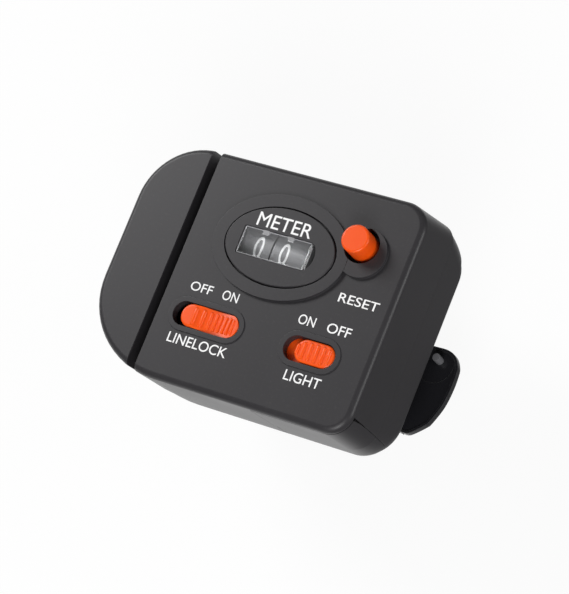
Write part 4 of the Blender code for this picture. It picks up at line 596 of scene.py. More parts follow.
def edge_group() -> Tree:
    """Build the group for the rubbed look of outer edges.

    Returns:
        The group.
    """
    group = new_group("rubbed_edge", {"Reach": EDGE_REACH, PATCHES: EDGE_PATCHES}, ("Mask",))
    inlet, outlet = group.nodes["inlet"], group.nodes["outlet"]
    bevel = add_node(group, "Bevel", {"Radius": inlet.outputs["Reach"]}, samples=EDGE_SAMPLES)
    plain = add_node(group, "NewGeometry")
    normals = {0: bevel.outputs["Normal"], 1: plain.outputs["Normal"]}
    product = add_node(group, "VectorMath", normals, operation="DOT_PRODUCT")
    turned = calculate(group, "SUBTRACT", 1.0, product.outputs["Value"])
    place = add_node(group, "TexCoord").outputs["Object"]
    noise = add_node(group, "TexNoise", {"Vector": place, "Scale": inlet.outputs[PATCHES]})
    strong = calculate(group, "MULTIPLY", turned, EDGE_GAIN)
    broken = calculate(group, "MULTIPLY", strong, noise.outputs["Fac"])
    held = calculate(group, "MINIMUM", broken, 1.0)
    feed(group, outlet, {"Mask": calculate(group, "MAXIMUM", held, 0.0)})
    return group


def dust_group() -> Tree:
    """Build the group for fine dust on surfaces that face the light.

    Returns:
        The group.
    """
    group = new_group("settled_dust", {"Specks per metre": DUST_SPECKS}, ("Mask",))
    inlet, outlet = group.nodes["inlet"], group.nodes["outlet"]
    place = add_node(group, "TexCoord").outputs["Object"]
    inputs = {"Detail": DUST_DETAIL, "Vector": place, "Scale": inlet.outputs["Specks per metre"]}
    noise = add_node(group, "TexNoise", inputs)
    normal = add_node(group, "NewGeometry").outputs["Normal"]
    parts = add_node(group, "SeparateXYZ", {"Vector": normal})
    upward = calculate(group, "MAXIMUM", parts.outputs["Z"], 0.0)
    raised = calculate(group, "SUBTRACT", noise.outputs["Fac"], DUST_START)
    specks = calculate(group, "MAXIMUM", calculate(group, "MULTIPLY", raised, DUST_GAIN), 0.0)
    feed(group, outlet, {"Mask": calculate(group, "MULTIPLY", specks, upward)})
    return group


def place_group(
    tree: Tree, name: str, build: Callable[[], Tree], inputs: dict[str, float] | None = None
) -> Node:
    """Put a shared group in a material, and build it the first time.

    Args:
        tree: Node tree of the material.
        name: Name of the group.
        build: Function that builds it.
        inputs: Its inputs by name.

    Returns:
        The group node.
    """
    group = bpy.data.node_groups.get(name) or build()
    return feed(tree, add_node(tree, "Group", node_tree=group), inputs or {})


def mix_colour(tree: Tree, mask: Any, first: Any, second: Colour) -> Socket:
    """Mix a second colour into a first by a mask.

    Args:
        tree: Node tree of the material.
        mask: Socket of the mask.
        first: Socket or colour where the mask is 0.
        second: Colour where it is 1.

    Returns:
        The mixed colour's socket.
    """
    start = (*first, 1) if isinstance(first, tuple) else first
    inputs = {0: mask, MIX_FIRST: start, MIX_SECOND: (*second, 1)}
    return add_node(tree, "Mix", inputs, data_type="RGBA").outputs[MIX_RESULT]


def mix_shader(tree: Tree, mask: Any, first: Any, second: Any) -> Socket:
    """Mix a second shader into a first by a mask, and give the result."""
    return add_node(tree, "MixShader", {0: mask, 1: first, 2: second}).outputs[0]


def new_material(name: str) -> tuple[bpy.types.Material, Tree, Node]:
    """Start a material.

    Args:
        name: Its name.

    Returns:
        The material, its node tree and its shader.
    """
    made = bpy.data.materials.new(name)
    made.use_nodes = True
    return made, made.node_tree, made.node_tree.nodes["Principled BSDF"]


@dataclass(frozen=True)
class Finish:
    """Finish of one kind of surface: colour, gloss, grain, wear and dust."""

    name: str
    slot: str
    colour: Colour
    roughness: float
    metallic: float = 0.0
    specular: float = 0.5
    coat: float = 0.0
    grains: float = 3000.0
    grain_depth: float = 0.00001
    patches: float = 60.0
    mottle: float = 0.12
    gloss_spread: float = 0.08
    wear: float = 0.0
    wear_colour: Colour = (0.16, 0.16, 0.165)
    dust: float = 0.0
    dust_colour: Colour = (0.35, 0.34, 0.33)
    scatter: float = 0.0
    scatter_scale: float = 0.0004
    scatter_radius: Colour = (1.0, 0.25, 0.08)

    def material(self) -> bpy.types.Material:
        """Give the finish's material, built once.

        Returns:
            The material.
        """
        made = bpy.data.materials.get(self.name)
        if made:
            return made
        made, tree, shader = new_material(self.name)
        if self.scatter:
            shader.inputs["Subsurface Weight"].default_value = self.scatter
            shader.inputs["Subsurface Scale"].default_value = self.scatter_scale
            shader.inputs["Subsurface Radius"].default_value = self.scatter_radius
        grain = place_group(tree, "moulded_grain", grain_group, {GRAINS: self.grains, PATCHES: self.patches})
        tone = grain.outputs["Tone"]
        spread = calculate(tree, "MULTIPLY", tone, self.gloss_spread)
        bump = add_node(
            tree, "Bump", {"Strength": 1.0, "Distance": self.grain_depth, "Height": grain.outputs["Height"]}
        )
        inputs = {
            "Metallic": self.metallic,
            "Specular IOR Level": self.specular,
            "Coat Weight": self.coat,
            "Coat Roughness": self.roughness / 2,
            "Base Color": self.tint(tree, tone),
            "Roughness": calculate(tree, "ADD", spread, self.roughness - self.gloss_spread / 2),
            "Normal": bump.outputs["Normal"],
        }
        feed(tree, shader, inputs)
        return made

    def tint(self, tree: Tree, tone: Socket) -> Socket:
        """Mix the colour with its mottle, worn edges and dust.

        Args:
            tree: Node tree of the material.
            tone: Socket with the slow change of tone.

        Returns:
            The colour's socket.
        """
        light = tuple(min(1.0, part * (1 + self.mottle)) for part in self.colour)
        dark = tuple(part * (1 - self.mottle) for part in self.colour)
        colour = mix_colour(tree, tone, dark, light)
        for share, second, name, build in (
            (self.wear, self.wear_colour, "rubbed_edge", edge_group),
            (self.dust, self.dust_colour, "settled_dust", dust_group),
        ):
            if share:
                group = place_group(tree, name, build)
                mask = calculate(tree, "MULTIPLY", group.outputs["Mask"], share)
                colour = mix_colour(tree, mask, colour, second)
        return colour


@dataclass(frozen=True)
class ClearFinish:
    """Finish of the clear lens, which lets light through to the drums."""

    name: str = "clear_moulding"
    slot: str = "clear_lens"
    colour: Colour = (0.97, 0.975, 0.98)
    second_colour: Colour = (0.93, 0.94, 0.95)
    roughness: float = 0.04
    smear: float = 0.08
    refraction: float = 1.49
    grains: float = 900.0
    patches: float = 200.0

    def material(self) -> bpy.types.Material:
        """Give the lens's material, built once.

        Returns:
            The material.
        """
        made = bpy.data.materials.get(self.name)
        if made:
            return made
        made, tree, shader = new_material(self.name)
        grain = place_group(tree, "moulded_grain", grain_group, {GRAINS: self.grains, PATCHES: self.patches})
        tone = grain.outputs["Tone"]
        smeared = calculate(tree, "MULTIPLY", tone, self.smear)
        inputs = {
            "IOR": self.refraction,
            "Transmission Weight": 1.0,
            "Base Color": mix_colour(tree, tone, self.colour, self.second_colour),
            "Roughness": calculate(tree, "ADD", smeared, self.roughness),
        }
        feed(tree, shader, inputs)
        shadow = add_node(tree, "LightPath").outputs["Is Shadow Ray"]
        clear = add_node(tree, "BsdfTransparent").outputs[0]
        surface = mix_shader(tree, shadow, shader.outputs[0], clear)
        feed(tree, tree.nodes["Material Output"], {"Surface": surface})
        return made


SATIN_BLACK = Finish(
    "satin_black_moulding",
    "black_plastic",
    (0.0265, 0.0250, 0.0275),
    0.40,
    specular=0.3,
    grains=5200.0,
    grain_depth=0.000004,
    wear=0.25,
    wear_colour=(0.09, 0.09, 0.095),
    dust=0.02,
)
DEEP_BLACK = Finish(
    "deep_black_moulding",
    "black_plastic",
    (0.006, 0.006, 0.0065),
    0.6,
    specular=0.15,
    grains=5200.0,
    wear=0.1,
)
GLOSS_BLACK = Finish(
    "gloss_black_moulding",
    "gloss_black_plastic",
    (0.012, 0.012, 0.014),
    0.2,
    grains=300.0,
    grain_depth=0.000002,
    wear=0.3,
)
DRUM_GREY = Finish(
    "drum_moulding", "drum_plastic", (0.23, 0.23, 0.235), 0.34, specular=0.3, grains=2500.0, wear=0.2
)
ORANGE = Finish(
    "orange_moulding",
    "orange_plastic",
    (0.85, 0.088, 0.005),
    0.3,
    specular=0.32,
    grains=2600.0,
    grain_depth=0.000005,
    mottle=0.05,
    wear=0.25,
    wear_colour=(1.0, 0.24, 0.05),
    dust=0.02,
    dust_colour=(0.95, 0.45, 0.3),
    scatter=0.15,
)
WHITE_PRINT = Finish(
    "white_print",
    "white_plastic",
    (0.86, 0.86, 0.86),
    0.5,
    grains=9000.0,
    patches=700.0,
    mottle=0.06,
    dust=0.1,
)
WHITE_ACETAL = Finish(
    "white_acetal", "white_plastic", (0.74, 0.73, 0.70), 0.35, wear=0.15, wear_colour=(0.9, 0.9, 0.88)
)
RUBBER = Finish(
    "moulded_rubber", "rubber", (0.024, 0.024, 0.025), 0.78, grains=2400.0, grain_depth=0.00003, dust=0.25
)
STEEL = Finish(
    "drawn_steel",
    "steel",
    (0.56, 0.56, 0.57),
    0.26,
    metallic=1.0,
    grains=6000.0,
    wear=0.3,
    wear_colour=(0.8, 0.8, 0.8),
)
BRASS = Finish(
    "turned_brass",
    "brass",
    (0.74, 0.52, 0.22),
    0.28,
    metallic=1.0,
    grains=6000.0,
    wear=0.3,
    wear_colour=(0.9, 0.7, 0.4),
)
BOARD_GREEN = Finish("board_laminate", "board_green", (0.02, 0.16, 0.07), 0.4, grains=4200.0)
FROSTED = Finish(
    "frosted_moulding",
    "clear_lens",
    (0.26, 0.26, 0.27),
    0.3,
    grains=5000.0,
    wear=0.4,
    wear_colour=(0.5, 0.5, 0.5),
)
# Pale grey for the band round the lens: a painted highlight.
PAINTED_LENS_HIGHLIGHT = Finish("painted_lens_highlight", "clear_lens", (0.5, 0.5, 0.52), 0.25, grains=5000.0)
ZINC = Finish("zinc_plate", "steel", (0.17, 0.17, 0.18), 0.5, metallic=0.3, grains=6000.0, wear=0.3)
LAMP_RESIN = Finish("lamp_resin", "lamp_clear", (0.82, 0.84, 0.86), 0.12, coat=0.5, scatter=0.3)
CLEAR = ClearFinish()


def dress(item: Item, finish: Finish | ClearFinish) -> None:
    """Give an object one finish all over.

    Args:
        item: Object to dress.
        finish: Its finish.
    """
    item.data.materials.clear()
    item.data.materials.append(finish.material())
    for face in item.data.polygons:
        face.material_index = 0


@dataclass
class Assembly:
    """Common ground of the sub-assemblies: the loaded frame and the pieces made so far."""

    frame: dict[str, Any]

    def add(self, piece: Item, finish: Finish | ClearFinish, body: str, *nodes: str) -> Item:
        """Dress a finished piece, let it ride on its body and let it stand for frame nodes.

        Args:
            piece: Finished piece.
            finish: Its finish.
            body: Body of the frame that it rides on.
            nodes: Nodes of the frame that it replaces.

        Returns:
            The piece.
        """
        dress(piece, finish)
        if nodes:
            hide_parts(*nodes)
        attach(piece, body)
        LOG.info("piece %s on %s, %d faces", piece.name, body, len(piece.data.polygons))
        return piece

    def copy_node(self, node: str, name: str) -> Item:
        """Copy a frame node as a closed mesh."""
        return merged_copy(self.frame["nodes"][node], name)


@dataclass(frozen=True)
class Lamp:
    """A square soft lamp: its name, place, side and power in watts."""

    name: str
    place: Point
    size: float
    power: float


@dataclass
class Studio(Assembly):
    """Camera, lamps, pale floor and plain white surroundings."""

    camera_place: Point = (0.28977083, -0.11432068, 0.53866917)
    camera_turn: Point = (21.07342199, 21.59992218, 23.32979272)
    focal_length: float = 153.685
    sensor_width: float = 36.0
    lamps: tuple[Lamp, ...] = (
        Lamp("key_lamp", (-0.528, 0.288, 0.528), 0.32, 3.8),
        Lamp("side_lamp", (0.66, 0.14, 0.12), 0.22, 1.4),
        Lamp("fill_lamp", (0.30, -0.52, 0.53), 0.4, 4.6),
    )
    lamp_target: Point = (0.011, 0.001, 0.02)
    floor_z: float = -0.0320
    floor_size: float = 6.0
    floor_dark: Colour = (0.19, 0.19, 0.19)
    floor_light: Colour = (0.21, 0.21, 0.21)
    floor_roughness: float = 0.9
    floor_specular: float = 0.1
    floor_grains: float = 400.0
    floor_patches: float = 3.0
    floor_share: float = 0.6
    floor_glow: float = 1.5
    # Glow of the floor in reflections alone, from left to right across the span: a painted reflection that
    # leaves painted shade on the right.
    floor_shine_left: float = 0.8
    floor_shine_right: float = 0.03
    shine_span: Spot = (0.03, 0.055)
    world_strength: float = 0.25

    def build(self) -> None:
        """Set the camera, the lamps, the floor and the world."""
        self.aim_camera()
        for lamp in self.lamps:
            self.hang(lamp)
        self.lay_floor()
        self.light_world()
        bpy.context.scene.view_settings.view_transform = "Standard"

    def aim_camera(self) -> None:
        """Place the camera at the photograph's angle."""
        deselect()
        turn = [math.radians(angle) for angle in self.camera_turn]
        bpy.ops.object.camera_add(location=self.camera_place, rotation=turn)
        camera = bpy.context.object
        camera.name = "photo_camera"
        camera.data.lens = self.focal_length
        camera.data.sensor_fit = "AUTO"
        camera.data.sensor_width = self.sensor_width
        bpy.context.scene.camera = camera

    def hang(self, lamp: Lamp) -> None:
        """Hang a lamp that faces the casing.

        Args:
            lamp: Lamp to hang.
        """
        deselect()
        turn = (Vector(self.lamp_target) - Vector(lamp.place)).to_track_quat("-Z", "Y").to_euler()
        bpy.ops.object.light_add(type="AREA", location=lamp.place, rotation=turn)
        item = bpy.context.object
        item.name = lamp.name
        item.data.size = lamp.size
        item.data.energy = lamp.power

    def lay_floor(self) -> None:
        """Lay the pale floor under the clamp, clear when seen from below."""
        deselect()
        bpy.ops.mesh.primitive_plane_add(size=self.floor_size, location=(0, 0, self.floor_z))
        floor = settle(bpy.context.object, "pale_floor")
        made, tree, shader = new_material("pale_floor")
        scales = {GRAINS: self.floor_grains, PATCHES: self.floor_patches}
        grain = place_group(tree, "moulded_grain", grain_group, scales)
        inputs = {
            "Roughness": self.floor_roughness,
            "Specular IOR Level": self.floor_specular,
            "Base Color": mix_colour(tree, grain.outputs["Tone"], self.floor_dark, self.floor_light),
        }
        feed(tree, shader, inputs)
        glow = add_node(tree, "Emission", {"Strength": self.floor_glow}).outputs[0]
        path = add_node(tree, "LightPath")
        seen = calculate(tree, "MULTIPLY", path.outputs["Is Camera Ray"], self.floor_share)
        # Reflections see the floor glow by a painted reflection that falls off to the right.
        rays = (path.outputs["Is Glossy Ray"], path.outputs["Is Transmission Ray"])
        shine = calculate(tree, "MULTIPLY", calculate(tree, "MAXIMUM", *rays), self.shine(tree))
        lit = mix_shader(tree, calculate(tree, "MAXIMUM", seen, shine), shader.outputs[0], glow)
        under = add_node(tree, "NewGeometry").outputs["Backfacing"]
        clear = add_node(tree, "BsdfTransparent").outputs[0]
        surface = mix_shader(tree, under, lit, clear)
        feed(tree, tree.nodes["Material Output"], {"Surface": surface})
        floor.data.materials.append(made)

    def shine(self, tree: Tree) -> Socket:
        """Add the floor's glow in reflections alone: a painted reflection, bright on the left and falling off
        to painted shade on the right.

        Args:
            tree: Node tree of the floor's material.

        Returns:
            The brightness.
        """
        place = add_node(tree, "TexCoord").outputs["Object"]
        inputs = {
            "Value": add_node(tree, "SeparateXYZ", {"Vector": place}).outputs["X"],
            "From Min": self.shine_span[0],
            "From Max": self.shine_span[1],
            "To Min": self.floor_shine_left,
            "To Max": self.floor_shine_right,
        }
        return add_node(tree, "MapRange", inputs).outputs["Result"]

    def light_world(self) -> None:
        """Surround the scene with plain white light."""
        world = bpy.data.worlds.new("plain_world")
        world.use_nodes = True
        tree = world.node_tree
        seen = add_node(tree, "LightPath").outputs["Is Camera Ray"]
        extra = calculate(tree, "MULTIPLY", seen, 1 - self.world_strength)
        strength = calculate(tree, "ADD", extra, self.world_strength)
        feed(tree, tree.nodes["Background"], {"Color": (1, 1, 1, 1), "Strength": strength})
        bpy.context.scene.world = world


@dataclass(frozen=True)
class Section:
    """Outline of the casing at one height: four straight sides and four rounded corners."""

    left: float
    right: float
    bottom: float
    top: float
    low_left: Spot
    low_right: float
    high_right: float
    high_left: float
    steps: int = 16

    def blended(self, other: "Section", share: float) -> "Section":
        """Give an outline between this one and another.

        Args:
            other: The other outline.
            share: Share of the other one.

        Returns:
            The outline between them.
        """
        ends = ("left", "right", "bottom", "top", "low_right", "high_right", "high_left")
        mixed = {end: getattr(self, end) * (1 - share) + getattr(other, end) * share for end in ends}
        return Section(low_left=self.low_left, **mixed)

    def ring(self, height: float, inset: float) -> list[Point]:
        """Give the outline at a height, drawn in by an inset.

        Args:
            height: Height of the outline.
            inset: How far it is drawn in.

        Returns:
            Its points, counter-clockwise.
        """
        low_left_x, low_left_y = (part - inset for part in self.low_left)
        low_right, high_right, high_left = (
            part - inset for part in (self.low_right, self.high_right, self.high_left)
        )
        left, right = self.left + inset, self.right - inset
        bottom, top = self.bottom + inset, self.top - inset
        corners = (
            (left + low_left_x, bottom + low_left_y, low_left_x, low_left_y, 2),
            (right - low_right, bottom + low_right, low_right, low_right, 3),
            (right - high_right, top - high_right, high_right, high_right, 0),
            (left + high_left, top - high_left, high_left, high_left, 1),
        )
        points = []
        for across, up, radius_x, radius_y, quarter in corners:
            for step in range(self.steps + 1):
                turn = math.pi / 2 * (quarter + step / self.steps)
                points.append((across + radius_x * math.cos(turn), up + radius_y * math.sin(turn), height))
        return points


@dataclass
class Casing(Assembly):
    """Front housing, line cap, back cover and battery door, on one smooth outer form."""

    face: Section = Section(-0.0265, 0.0485, -0.0279, 0.0295, (0.0232, 0.0206), 0.0060, 0.00675, 0.0157)
    seam: Section = Section(-0.0265, 0.0487, -0.0272, 0.0307, (0.0232, 0.0206), 0.0060, 0.0048, 0.0157)
    back: Section = Section(-0.0260, 0.0487, -0.0260, 0.0297, (0.0232, 0.0206), 0.0092, 0.0085, 0.0157)
    flank_steps: int = 8
    flank_ease: float = 0.5
    face_z: float = FACE_Z
    seam_z: float = 0.0135
    seam_gap: float = 0.0003
    door_gap: float = 0.0001
    door_top_gap: float = 0.0004
    door_round: float = 0.00006
    back_z: float = 0.0010
    back_step: float = 0.0002
    face_round: float = 0.0016
    back_round: float = 0.0018
    round_steps: int = 6
    slot_left: float = -0.0113
    slot_right: float = -0.0088
    skin: float = 0.0011
    core_inset: float = 0.0008
    door_wall: float = 0.0016
    field_middle: Spot = (0.0156, 0.0104)
    field_half: Spot = (0.0178, 0.0129)
    field_round: tuple[float, float, float] = (0.0362, 0.0144, 0.0061)
    field_rise: float = 0.0009
    field_step: float = 0.00001
    oval_sides: int = 144
    pill_share: float = 0.998
    pill_steps: int = 14
    side_low: Spot = (-0.04, -0.03)
    side_high: Spot = (0.04, 0.04)
    seat_middle: Spot = (0.0158, 0.01035)
    seat_half: Spot = (0.01475, 0.0098)
    seat_z: float = 0.0295
    ledge: float = 0.0017
    button_radius: float = 0.0044
    knob_slots: tuple[tuple[float, float, float, float], ...] = (
        (0.00445, -0.0110, 0.0179, 0.0060),
        (0.0327, -0.01135, 0.0134, 0.0061),
    )
    rim_width: float = 0.0013
    rim_rise: float = 0.0003
    door_left: float = 0.0230
    door_corner_left: float = 0.0432
    door_corner_high: float = -0.0226
    door_high: float = -0.0241
    door_low_z: float = 0.0033
    door_high_z: float = 0.0276
    tongue_places: Spot = (0.0254, 0.0384)
    tongue_width: float = 0.0010
    tongue_low: Spot = (-0.0252, 0.0057)
    tongue_high: Spot = (-0.0159, 0.0097)
    pocket_radius: float = 0.0022
    pocket_sides: int = 64
    pocket_top: float = 0.0024
    edge_round: float = 0.0001

    def build(self) -> None:
        """Build the four shells."""
        self.front()
        self.cap()
        self.cover()
        self.door()

    def front_form(self, inset: float, top: float) -> Item:
        """Loft the form of the front shells, drawn in by an inset.

        Args:
            inset: How far it is drawn in.
            top: Height of its top.

        Returns:
            The solid.
        """
        low = self.seam_z if inset == 0 else self.seam_z - OVERRUN
        rings = [self.seam.ring(low, inset)]
        radius = self.face_round if inset == 0 else self.face_round / 2
        for step in range(self.round_steps + 1):
            turn = math.pi / 2 * step / self.round_steps
            height = top - radius * (1 - math.sin(turn))
            rings.append(self.face.ring(height, inset + radius * (1 - math.cos(turn))))
        return loft("front_form", rings)

    def back_form(self, inset: float, low: float, high: float) -> Item:
        """Loft the form of the back cover, drawn in by an inset.

        Args:
            inset: How far it is drawn in.
            low: Height of its lowest face.
            high: Height of its highest face.

        Returns:
            The solid.
        """
        rings = []
        for step in range(self.round_steps + 1):
            turn = math.pi / 2 * (1 - step / self.round_steps)
            height = low + self.back_round * (1 - math.sin(turn))
            rings.append(self.back.ring(height, inset + self.back_round * (1 - math.cos(turn))))
        start = low + self.back_round
        for step in range(1, self.flank_steps + 1):
            share = step / self.flank_steps
            section = self.back.blended(self.seam, share**self.flank_ease)
            rings.append(section.ring(start + share * (high - start), inset + share * self.back_step))
        return loft("back_form", rings)

    def side(self, left: float, right: float) -> Item:
        """Add a block that holds all of the casing between two places along X."""
        return add_block("side", (left, *self.side_low), (right, *self.side_high))

    def skinned(self, node: str, left: float, right: float, cut_left: bool) -> Item:
        """Put a smooth outer skin over the inner part of a front shell.

        Args:
            node: Node of the frame that the shell stands for.
            left: Left limit of the shell.
            right: Right limit of the shell.
            cut_left: Whether the slot's wall is its left side.

        Returns:
            The shell.
        """
        shell = self.front_form(0, self.face_z)
        combine(shell, self.side(left, right), Blend.KEEP)
        core = self.copy_node(node, node + "_core")
        for solid, inset, blend in ((shell, self.skin, Blend.CARVE), (core, self.core_inset, Blend.KEEP)):
            room = self.front_form(inset, self.face_z - inset)
            near = left + inset if cut_left else left
            far = right if cut_left else right - inset
            combine(room, self.side(near, far), Blend.KEEP)
            combine(solid, room, blend)
        combine(shell, core, Blend.FUSE)
        return shell

    def front(self) -> None:
        """Build the front housing with its raised field, rims and openings."""
        shell = self.skinned("front_housing", self.slot_right, self.seam.right + OVERRUN, True)
        base = self.face_z - self.skin / 2
        top = self.face_z + self.field_rise
        round_x, round_y, radius = self.field_round
        combine(shell, self.oval(self.field_middle, self.field_half, base, top), Blend.FUSE)
        boss = self.oval((round_x, round_y), (radius, radius), base, top - self.field_step)
        combine(shell, boss, Blend.FUSE)
        for slot in self.knob_slots:
            combine(shell, self.pill(slot, self.rim_width, base, self.face_z + self.rim_rise), Blend.FUSE)
        low = self.face_z - 3 * OVERRUN
        for slot in self.knob_slots:
            combine(shell, self.pill(slot, 0, low, self.face_z + OVERRUN), Blend.CARVE)
        combine(shell, self.oval(self.seat_middle, self.seat_half, self.seat_z, top + OVERRUN), Blend.CARVE)
        inner = tuple(part - self.ledge for part in self.seat_half)
        combine(shell, self.oval(self.seat_middle, inner, low, top + OVERRUN), Blend.CARVE)
        start = (*BUTTON_MIDDLE, low)
        hole = add_rod("hole", Axis.Z, self.button_radius, start, top + OVERRUN - low, FINE_SIDES)
        combine(shell, hole, Blend.CARVE)
        combine(shell, self.door_room(self.door_gap, self.door_top_gap), Blend.CARVE)
        shell.name = "front_shell"
        soften(shell, self.edge_round)
        self.add(shell, SATIN_BLACK, "housing", "front_housing")

    def oval(self, middle: Spot, half: Spot, low: float, high: float) -> Item:
        """Add an upright oval rod that is fine enough for the face."""
        return add_oval("oval", middle, half, low, high, self.oval_sides)

    def pill(self, slot: tuple[float, float, float, float], margin: float, low: float, high: float) -> Item:
        """Add an upright rod with the outline of a knob's slot.

        Args:
            slot: Middle, length and width of the slot.
            margin: How far the outline is grown.
            low: Its lower end.
            high: Its upper end.

        Returns:
            The rod.
        """
        x, y, length, width = slot
        half_length, half_width = length / 2 + margin, width / 2 + margin
        start = (x - half_length, y - half_width, low)
        end = (x + half_length, y + half_width, high)
        return rounded_block("pill", start, end, half_width * self.pill_share, 0, self.pill_steps)

    def cap(self) -> None:
        """Build the line cap."""
        shell = self.skinned("line_cap", self.seam.left - OVERRUN, self.slot_left, False)
        shell.name = "cap_shell"
        soften(shell, self.edge_round)
        self.add(shell, SATIN_BLACK, "housing", "line_cap")

    def cover(self) -> None:
        """Build the back cover with its screw pockets and door opening."""
        rim = self.seam_z - self.seam_gap
        shell = self.back_form(0, self.back_z, rim)
        combine(shell, self.back_form(self.skin, self.back_z + self.skin, rim + OVERRUN), Blend.CARVE)
        core = self.copy_node("back_cover", "core")
        inset = self.core_inset
        combine(core, self.back_form(inset, self.back_z + inset, self.seam_z + 2 * OVERRUN), Blend.KEEP)
        combine(shell, core, Blend.FUSE)
        outer = self.copy_node("back_cover", "outer")
        keep_below(outer, "back_cover", self.back_z + self.skin / 2)
        combine(shell, outer, Blend.FUSE)
        for place in SCREW_PLACES:
            start = (*place, self.back_z - OVERRUN)
            height = self.pocket_top - start[2]
            pocket = add_rod("pocket", Axis.Z, self.pocket_radius, start, height, self.pocket_sides)
            combine(shell, pocket, Blend.CARVE)
        combine(shell, self.door_room(self.door_gap, self.door_top_gap), Blend.CARVE)
        merge_flats(shell, level_only=True)
        shell.name = "back_shell"
        soften(shell, self.edge_round)
        self.add(shell, SATIN_BLACK, "housing", "back_cover")

    def door_room(self, gap: float, top_gap: float) -> Item:
        """Add the room of the battery door, grown by a gap.

        Args:
            gap: How far its sides are grown.
            top_gap: How far its top is grown.

        Returns:
            The solid.
        """
        low = self.face.bottom - 2 * OVERRUN
        right = self.seam.right + 2 * OVERRUN
        room = add_block(
            "door_room",
            (self.door_left - gap, low, self.door_low_z - gap),
            (self.door_corner_left + OVERRUN, self.door_high, self.door_high_z + top_gap),
        )
        corner = add_block(
            "door_corner",
            (self.door_corner_left - gap, low - OVERRUN, self.door_low_z - gap),
            (right, self.door_corner_high + gap, self.door_high_z + top_gap),
        )
        combine(room, corner, Blend.FUSE)
        return room

    def door(self) -> None:
        """Build the battery door with its two tongues."""
        door = self.front_form(0, self.face_z)
        combine(door, self.back_form(0, self.back_z, self.seam_z + self.seam_gap), Blend.FUSE)
        wall = self.door_wall
        combine(door, self.front_form(wall, self.face_z - wall), Blend.CARVE)
        inner = self.back_form(wall, self.back_z + wall, self.seam_z + 2 * OVERRUN)
        combine(door, inner, Blend.CARVE)
        combine(door, self.door_room(0, 0), Blend.KEEP)
        for left in self.tongue_places:
            tongue = add_block(
                "tongue",
                (left, self.tongue_low[0], self.tongue_low[1]),
                (left + self.tongue_width, self.tongue_high[0], self.tongue_high[1]),
            )
            combine(door, tongue, Blend.FUSE)
        door.name = "door_shell"
        soften(door, self.door_round)
        self.add(door, SATIN_BLACK, "door", "battery_door")


